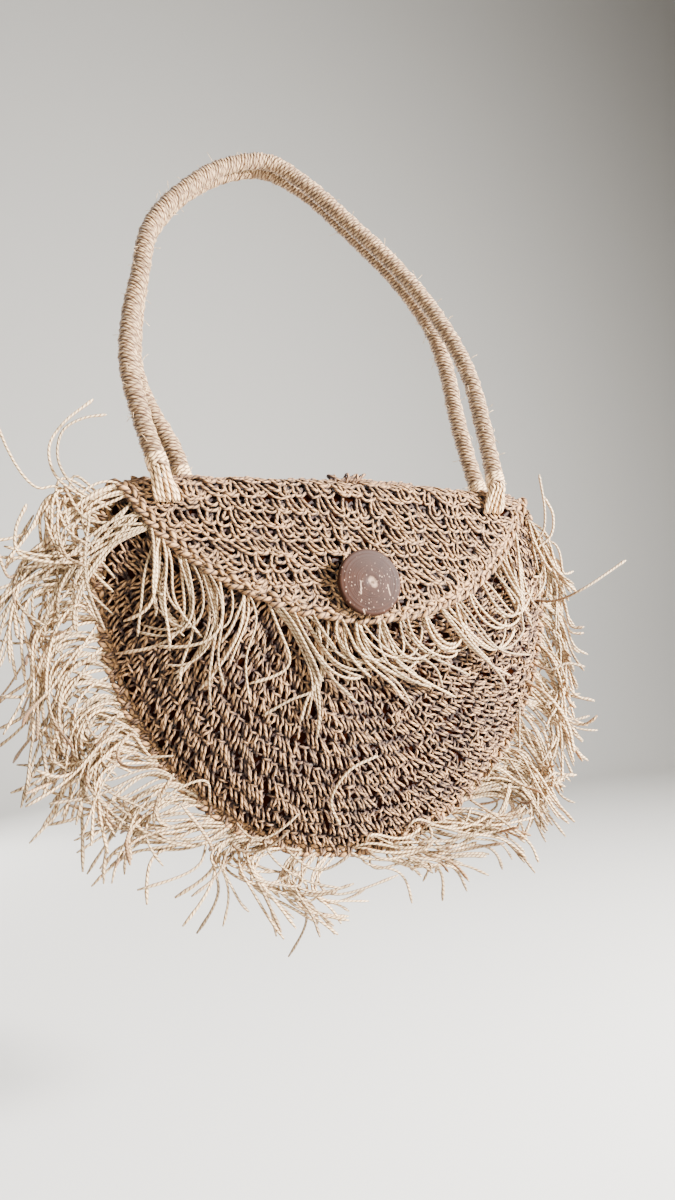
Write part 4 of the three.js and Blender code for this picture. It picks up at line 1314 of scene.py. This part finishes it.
def button_frame(s, droop):
    """The button's place on the flap, the axis out of the flap, and the directions right and up across it, drooping
    about the level line from the flap's slope."""
    step = 1 * MM
    slope_x = (flap_depth(s, BUTTON_X + step, BUTTON_Z) - flap_depth(s, BUTTON_X - step, BUTTON_Z)) / (2 * step)
    slope_z = (flap_depth(s, BUTTON_X, BUTTON_Z + step) - flap_depth(s, BUTTON_X, BUTTON_Z - step)) / (2 * step)
    place = np.array([BUTTON_X, -flap_depth(s, BUTTON_X, BUTTON_Z), BUTTON_Z])
    axis = unit(np.array([-slope_x, -1.0, -slope_z]))
    right = unit(RIGHTWARD - axis[0] * axis)
    up = np.cross(axis, right)
    drooped = math.cos(droop) * axis - math.sin(droop) * up
    return place, drooped, right, math.cos(droop) * up + math.sin(droop) * axis


def turned(seat, axis, right, up, radii, heights, sides):
    """A turned shape about an axis: a ring of each radius at each height over its seat."""
    spokes = circle(2 * np.pi * np.arange(sides) / sides, right, up)
    rings = seat + heights[:, None, None] * axis + radii[:, None, None] * spokes
    return ring_patch(rings[None], heights[None], tone=np.full(1, 0.5), wear=1.0, finish=0)


def front_panel(s, c):
    """The front wall: half a disc of rounds with straight rows above it, over a dark lining of painted shade."""
    rng = np.random.default_rng(SEEDS["front_panel"])
    surface = front_rows(s)
    lining = painted_shade_lining(s, surface, 1.0, np.linspace(0, FRONT_TOP_HEIGHT, 9)[1:])
    disc = rounds(s, front_depth, -1.0)
    lower = close_stitches(s, disc, -1.0, all_of(lower_rounds(s, disc, s.close_stitch)), rng)
    rows = straight_rows(s, surface, 0.0, FRONT_TOP_HEIGHT, ROW_INSET, s.close_stitch, s.row_pitch, 1.0)
    upper = close_stitches(s, surface, 1.0, all_of(rows), rng)
    finishes = [crochet_finish(c), painted_shade_finish(c)]
    make_piece(s, "front_crochet", join([lower, lining]), finishes, ["front_panel"])
    make_piece(s, "front_top_crochet", upper, finishes, ["front_panel"])


def back_panel(s, c):
    """The back wall with its flap: half a disc of rounds, then straight rows up the back, over the fold and down."""
    rng = np.random.default_rng(SEEDS["back_panel"])
    cord = s.crochet_cord
    surface = back_rows(s)
    # The lining is a dark sheet of painted shade behind the stitches
    lining = painted_shade_lining(s, surface, -1.0, np.linspace(0, 1, 60)[1:] * s.rise_above * np.sin(LINING_TURN))
    fold = fold_of(s)
    widths = {"width": s.stitch_width, "pitch": s.row_pitch}
    style = Style(cords=2, radius=0.36 * cord, spacing=1.1 * cord, loose=HOOK_LOOSE, **widths)
    disc = rounds(s, back_depth, 1.0)
    lower = crochet(s, disc, 1.0, lower_rounds(s, disc, style.width), style, rng)
    rows = straight_rows(s, surface, 0.0, fold.start, ROW_INSET, style.width, style.pitch, -1.0)
    upper = crochet(s, surface, -1.0, rows, style, rng)
    widths = {"width": s.flap_stitch, "pitch": s.flap_pitch}
    style = Style(cords=2, radius=0.43 * cord, spacing=1.3 * cord, loose=HOOK_LOOSE, **widths)
    end = s.rise_above * FLAP_ROWS_SHARE
    rows = straight_rows(s, surface, fold.start, end, FLAP_ROW_INSET, style.width, style.pitch, -1.0)
    rows = crochet(s, surface, -1.0, rows, style, rng)
    flap = join([rows, edge_round(s, style, rng), fold_crest(s, rng)])
    finishes = [crochet_finish(c), painted_shade_finish(c)]
    make_piece(s, "back_crochet", join([lower, upper, lining]), finishes, ["back_panel"])
    make_piece(s, "flap_crochet", flap, finishes, ["back_panel"])


def seam_fringe(s, c):
    """The braided seam with its knots and loose cords."""
    rng = np.random.default_rng(SEEDS["seam_fringe"])
    core_inset, core_radius = 1.8 * MM, 2 * MM
    path, outward = seam_point(s, seam_turn(s, np.linspace(0, 1, 260)), SEAM_OUTSET)
    ridge = plait(path, outward, width=5.2 * MM, thickness=3.6 * MM, link=9 * MM, rng=rng)
    core = tubes(path[None] - core_inset * outward, core_radius, sides=6, tone=np.zeros(1), finish=1)
    knots = seam_turn(s, (np.arange(s.seam_knots) + 0.5) / s.seam_knots)
    centre, out = seam_point(s, knots, SEAM_OUTSET)
    along = np.cross(BACKWARD, out)
    wraps = knot_wraps(centre, along, out, radius=3.6 * MM, cord=s.fringe_cord, leaning=0.9 * MM, rng=rng)
    strays = single_cords(s, [np.array(line) * MM for line in STRAY_CORDS], rng)
    patch = join([ridge, core, wraps, seam_strands(s, rng), *strays])
    finishes = [fringe_finish(c), crochet_finish(c)]
    make_piece(s, "seam_fringe_cords", patch, finishes, ["seam_fringe"])


def flap_fringe(s, c):
    """The flap's corded edge with its loose cords, and the tuft at its left corner."""
    rng = np.random.default_rng(SEEDS["flap_fringe"])
    outset = FLAP_RIDGE_RADIUS + JOIN_GAP
    lying_gap = 2.5 * MM
    corner = np.arcsin(SEAM_TOP_HEIGHT / s.rise_above)
    path, outward = flap_edge_point(s, np.linspace(np.pi - corner, corner, 320), outset)
    ridge = plait(path, outward, width=5 * MM, thickness=3.4 * MM, link=9 * MM, rng=rng)
    lines = []
    for line in LOOSE_CORDS:
        x, z = np.array(line).T * MM
        lines.append(np.stack([x, -front_depth(s, x, z) - WALL / 2 - lying_gap, z], axis=-1))
    fringe = flap_strands(s, FLAP_FRINGE, s.flap_knots, rng)
    singles = single_cords(s, lines, rng)
    corner_tuft = flap_strands(s, CORNER_FRINGE, CORNER_KNOTS, rng)
    patch = join([ridge, fringe, *singles, corner_tuft])
    finishes = [fringe_finish(c), crochet_finish(c)]
    make_piece(s, "flap_fringe_cords", patch, finishes, ["flap_fringe"])


def handles(s, c):
    """Both rope handles."""
    rng = np.random.default_rng(SEEDS["handles"])
    finish = [handle_finish(c)]
    for name, route in (("front_handle", FRONT_HANDLE), ("back_handle", BACK_HANDLE)):
        make_piece(s, name + "_rope", rope(s, route, rng), finish, [name])


def lashings(s, c):
    """The four lashings of the handle ends."""
    rng = np.random.default_rng(SEEDS["lashings"])
    finish = [handle_finish(c)]
    for name, route, side in (("front", FRONT_HANDLE, -1.0), ("back", BACK_HANDLE, 1.0)):
        for end, hand in enumerate(("left", "right")):
            node = f"{name}_{hand}_lashing"
            make_piece(s, node + "_cords", lashing(s, route, end, side, rng), finish, [node])


def button(s, c):
    """The coconut-shell button: a turned disc with round rims, a low dome and a dimple, which droops from its shank."""
    radius, rim, pole, dome_height = s.button_radius, 1.4 * MM, 0.2 * MM, 0.8 * MM
    dimple_depth, dimple_radius = 0.8 * MM, 1.8 * MM
    shoulder = s.button_thickness - dome_height
    bottom = WALL / 2 + BUTTON_LIFT
    corner = np.linspace(0, np.pi / 2, 6)
    share = np.linspace(0, 1, 14)[1:]
    top_radius = (radius - rim) * (1 - share) + pole * share
    dimple = dimple_depth * np.exp(-((top_radius / dimple_radius) ** 2))
    dome = dome_height * (1 - (top_radius / radius) ** 2)
    low_radius, high_radius = (radius - rim + rim * turn(corner) for turn in (np.sin, np.cos))
    radii = np.concatenate([[pole], low_radius, high_radius, top_radius])
    low_rim, high_rim = rim - rim * np.cos(corner), shoulder - rim + rim * np.sin(corner)
    heights = np.concatenate([[0.0], low_rim, high_rim, shoulder + dome - dimple])
    place, post_axis, _, _ = button_frame(s, 0.0)
    _, axis, right, up = button_frame(s, BUTTON_DROOP)
    seat = place + bottom * post_axis
    patch = turned(seat, axis, right, up, radii, heights, sides=96)
    flat = np.stack([(patch.points - seat) @ right, (patch.points - seat) @ up], axis=-1) / radius
    patch = patch._replace(uv=flat[patch.loops])
    make_piece(s, "coconut_button", patch, [coconut_finish(c)], ["button"])
    make_piece(s, "button_shank_cord", shank(s, bottom), [crochet_finish(c)], ["button_shank"])


def shank(s, bottom):
    """The post of cord under the button: rings that turn from the flap's slope to the button's, every other one drawn
    in a little."""
    post_radius, waist_depth, stations, sides = 4 * MM, 0.12, 12, 16
    place, axis, right, up = button_frame(s, 0.0)
    _, _, drooped_right, drooped_up = button_frame(s, BUTTON_DROOP)
    low = -WALL / 2 - LAYER_GAP + JOIN_GAP
    share = np.linspace(0, 1, stations)[:, None, None]
    waist = post_radius * (1 - waist_depth * np.sin(np.pi * np.arange(stations) / 2) ** 2)
    angle = 2 * np.pi * np.arange(sides) / sides
    spokes = circle(angle, right, up) * (1 - share) + circle(angle, drooped_right, drooped_up) * share
    middle = place + (low + (bottom - JOIN_GAP - low) * share) * axis
    run = low + (bottom - low) * share[None, :, 0, 0]
    rings = middle + waist[:, None, None] * spokes
    return ring_patch(rings[None], run, tone=np.full(1, 0.5), wear=1.0, finish=0)


def stage(s, c):
    """Floor that sweeps up into a backdrop, soft lights, and the camera at the photograph's viewing angle."""
    floor_z, reach, wall_height = -0.72, 12.0, 4.0
    depth, sweep = 1.6, 0.8
    turn = np.linspace(0, np.pi / 2, 16)
    y = np.concatenate([[-reach], depth + sweep * np.sin(turn), [depth + sweep]])
    z = np.concatenate([[0.0], sweep - sweep * np.cos(turn), [wall_height]])
    x = np.array([-reach, reach])
    points = np.stack([np.tile(x, len(y)), np.repeat(y, 2), floor_z + np.repeat(z, 2)], axis=-1)
    row = 2 * np.arange(len(y) - 1)
    faces = np.stack([row, row + 1, row + 3, row + 2], axis=-1)
    mesh = bpy.data.meshes.new("studio_floor")
    mesh.from_pydata(points.tolist(), [], faces.tolist())
    mesh.shade_smooth()
    mesh.materials.append(floor_finish(c))
    floor = bpy.data.objects.new("studio_floor", mesh)
    bpy.context.scene.collection.objects.link(floor)
    for name, place, size, power in LIGHTS:
        soft_light(name, place, Vector(LIGHT_AIM), size, power)
    world = bpy.data.worlds.new("studio_world")
    world.use_nodes = True
    set_inputs(world.node_tree.nodes["Background"], {"Color": (1.0, 0.94, 0.87, 1.0), "Strength": 0.15})
    bpy.context.scene.world = world
    photo_camera(s)


def soft_light(name, place, aim, size, power):
    """A square area light at a place, turned towards a point."""
    data = bpy.data.lights.new(name, "AREA")
    data.size = size
    data.energy = power
    light = bpy.data.objects.new(name, data)
    light.location = place
    light.rotation_euler = (aim - Vector(place)).to_track_quat("-Z", "Y").to_euler()
    bpy.context.scene.collection.objects.link(light)


def photo_camera(s):
    """The camera: yaw, pitch and roll about the pouch's middle, at its distance, with the frame shifted a little."""
    yaw, pitch, roll = (math.radians(v) for v in (-24.0, -6.8, -2.9))
    distance = 0.601
    picture_width, picture_height = 675, 1200
    middle_x, middle_y = 341, 579
    right = Vector((math.cos(yaw), math.sin(yaw), 0.0))
    forward = Vector((-math.sin(yaw) * math.cos(pitch), math.cos(yaw) * math.cos(pitch), -math.sin(pitch)))
    up = right.cross(forward)
    image_right = math.cos(roll) * right + math.sin(roll) * up
    image_up = math.cos(roll) * up - math.sin(roll) * right
    data = bpy.data.cameras.new("photo_camera")
    data.sensor_width = 36.0
    data.lens = 27.0
    data.shift_x = (picture_width / 2 - middle_x) / picture_height
    data.shift_y = (middle_y - picture_height / 2) / picture_height
    data.clip_start = 0.02
    camera = bpy.data.objects.new("photo_camera", data)
    eye = -distance * forward - Vector(hang_point(s))
    turn = Matrix((image_right, image_up, -forward)).transposed().to_4x4()
    camera.matrix_world = Matrix.Translation(eye) @ turn
    bpy.context.scene.collection.objects.link(camera)
    bpy.context.scene.camera = camera


class BAG_OT_stage(bpy.types.Operator):
    """Make the floor, the lights and the camera"""

    bl_idname = "bag.stage"
    bl_label = "Stage"

    def execute(self, context):
        stage(context.scene.bag_sizes, context.scene.bag_colours)
        return {"FINISHED"}


class BAG_OT_front_panel(bpy.types.Operator):
    """Make the crocheted front"""

    bl_idname = "bag.front_panel"
    bl_label = "Front Panel"

    def execute(self, context):
        front_panel(context.scene.bag_sizes, context.scene.bag_colours)
        return {"FINISHED"}


class BAG_OT_back_panel(bpy.types.Operator):
    """Make the crocheted back and the flap"""

    bl_idname = "bag.back_panel"
    bl_label = "Back Panel and Flap"

    def execute(self, context):
        back_panel(context.scene.bag_sizes, context.scene.bag_colours)
        return {"FINISHED"}


class BAG_OT_seam_fringe(bpy.types.Operator):
    """Make the seam's braid and fringe"""

    bl_idname = "bag.seam_fringe"
    bl_label = "Seam Fringe"

    def execute(self, context):
        seam_fringe(context.scene.bag_sizes, context.scene.bag_colours)
        return {"FINISHED"}


class BAG_OT_flap_fringe(bpy.types.Operator):
    """Make the flap's corded edge and fringe"""

    bl_idname = "bag.flap_fringe"
    bl_label = "Flap Fringe"

    def execute(self, context):
        flap_fringe(context.scene.bag_sizes, context.scene.bag_colours)
        return {"FINISHED"}


class BAG_OT_handles(bpy.types.Operator):
    """Make the two rope handles"""

    bl_idname = "bag.handles"
    bl_label = "Handles"

    def execute(self, context):
        handles(context.scene.bag_sizes, context.scene.bag_colours)
        return {"FINISHED"}


class BAG_OT_lashings(bpy.types.Operator):
    """Make the four lashings that hold the handles"""

    bl_idname = "bag.lashings"
    bl_label = "Lashings"

    def execute(self, context):
        lashings(context.scene.bag_sizes, context.scene.bag_colours)
        return {"FINISHED"}


class BAG_OT_button(bpy.types.Operator):
    """Make the coconut-shell button and its shank"""

    bl_idname = "bag.button"
    bl_label = "Button"

    def execute(self, context):
        button(context.scene.bag_sizes, context.scene.bag_colours)
        return {"FINISHED"}


OPERATORS = (
    BAG_OT_stage,
    BAG_OT_front_panel,
    BAG_OT_back_panel,
    BAG_OT_seam_fringe,
    BAG_OT_flap_fringe,
    BAG_OT_handles,
    BAG_OT_lashings,
    BAG_OT_button,
)


class VIEW3D_PT_seagrass_bag(bpy.types.Panel):
    """Lists the bag's operators, sizes and colours"""

    bl_idname = "VIEW3D_PT_seagrass_bag"
    bl_label = "Seagrass Bag"
    bl_space_type = "VIEW_3D"
    bl_region_type = "UI"
    bl_category = "Seagrass Bag"

    def draw(self, context):
        for operator in OPERATORS:
            self.layout.operator(operator.bl_idname)
        for group in (context.scene.bag_sizes, context.scene.bag_colours):
            for name in group.bl_rna.properties.keys():
                if name not in {"rna_type", "name"}:
                    self.layout.prop(group, name)


CLASSES = (BagSizes, BagColours, *OPERATORS, VIEW3D_PT_seagrass_bag)


def register():
    """Registers the classes and gives the scene its sizes and colours."""
    for cls in CLASSES:
        bpy.utils.register_class(cls)
    bpy.types.Scene.bag_sizes = bpy.props.PointerProperty(type=BagSizes)
    bpy.types.Scene.bag_colours = bpy.props.PointerProperty(type=BagColours)


def unregister():
    """Takes the sizes, the colours and the classes away again."""
    del bpy.types.Scene.bag_colours
    del bpy.types.Scene.bag_sizes
    for cls in reversed(CLASSES):
        bpy.utils.unregister_class(cls)


def main():
    """Builds the stage and the bag."""
    register()
    bpy.ops.bag.stage()
    bpy.ops.bag.front_panel()
    bpy.ops.bag.back_panel()
    bpy.ops.bag.seam_fringe()
    bpy.ops.bag.flap_fringe()
    bpy.ops.bag.handles()
    bpy.ops.bag.lashings()
    bpy.ops.bag.button()


if __name__ == "__main__":
    main()
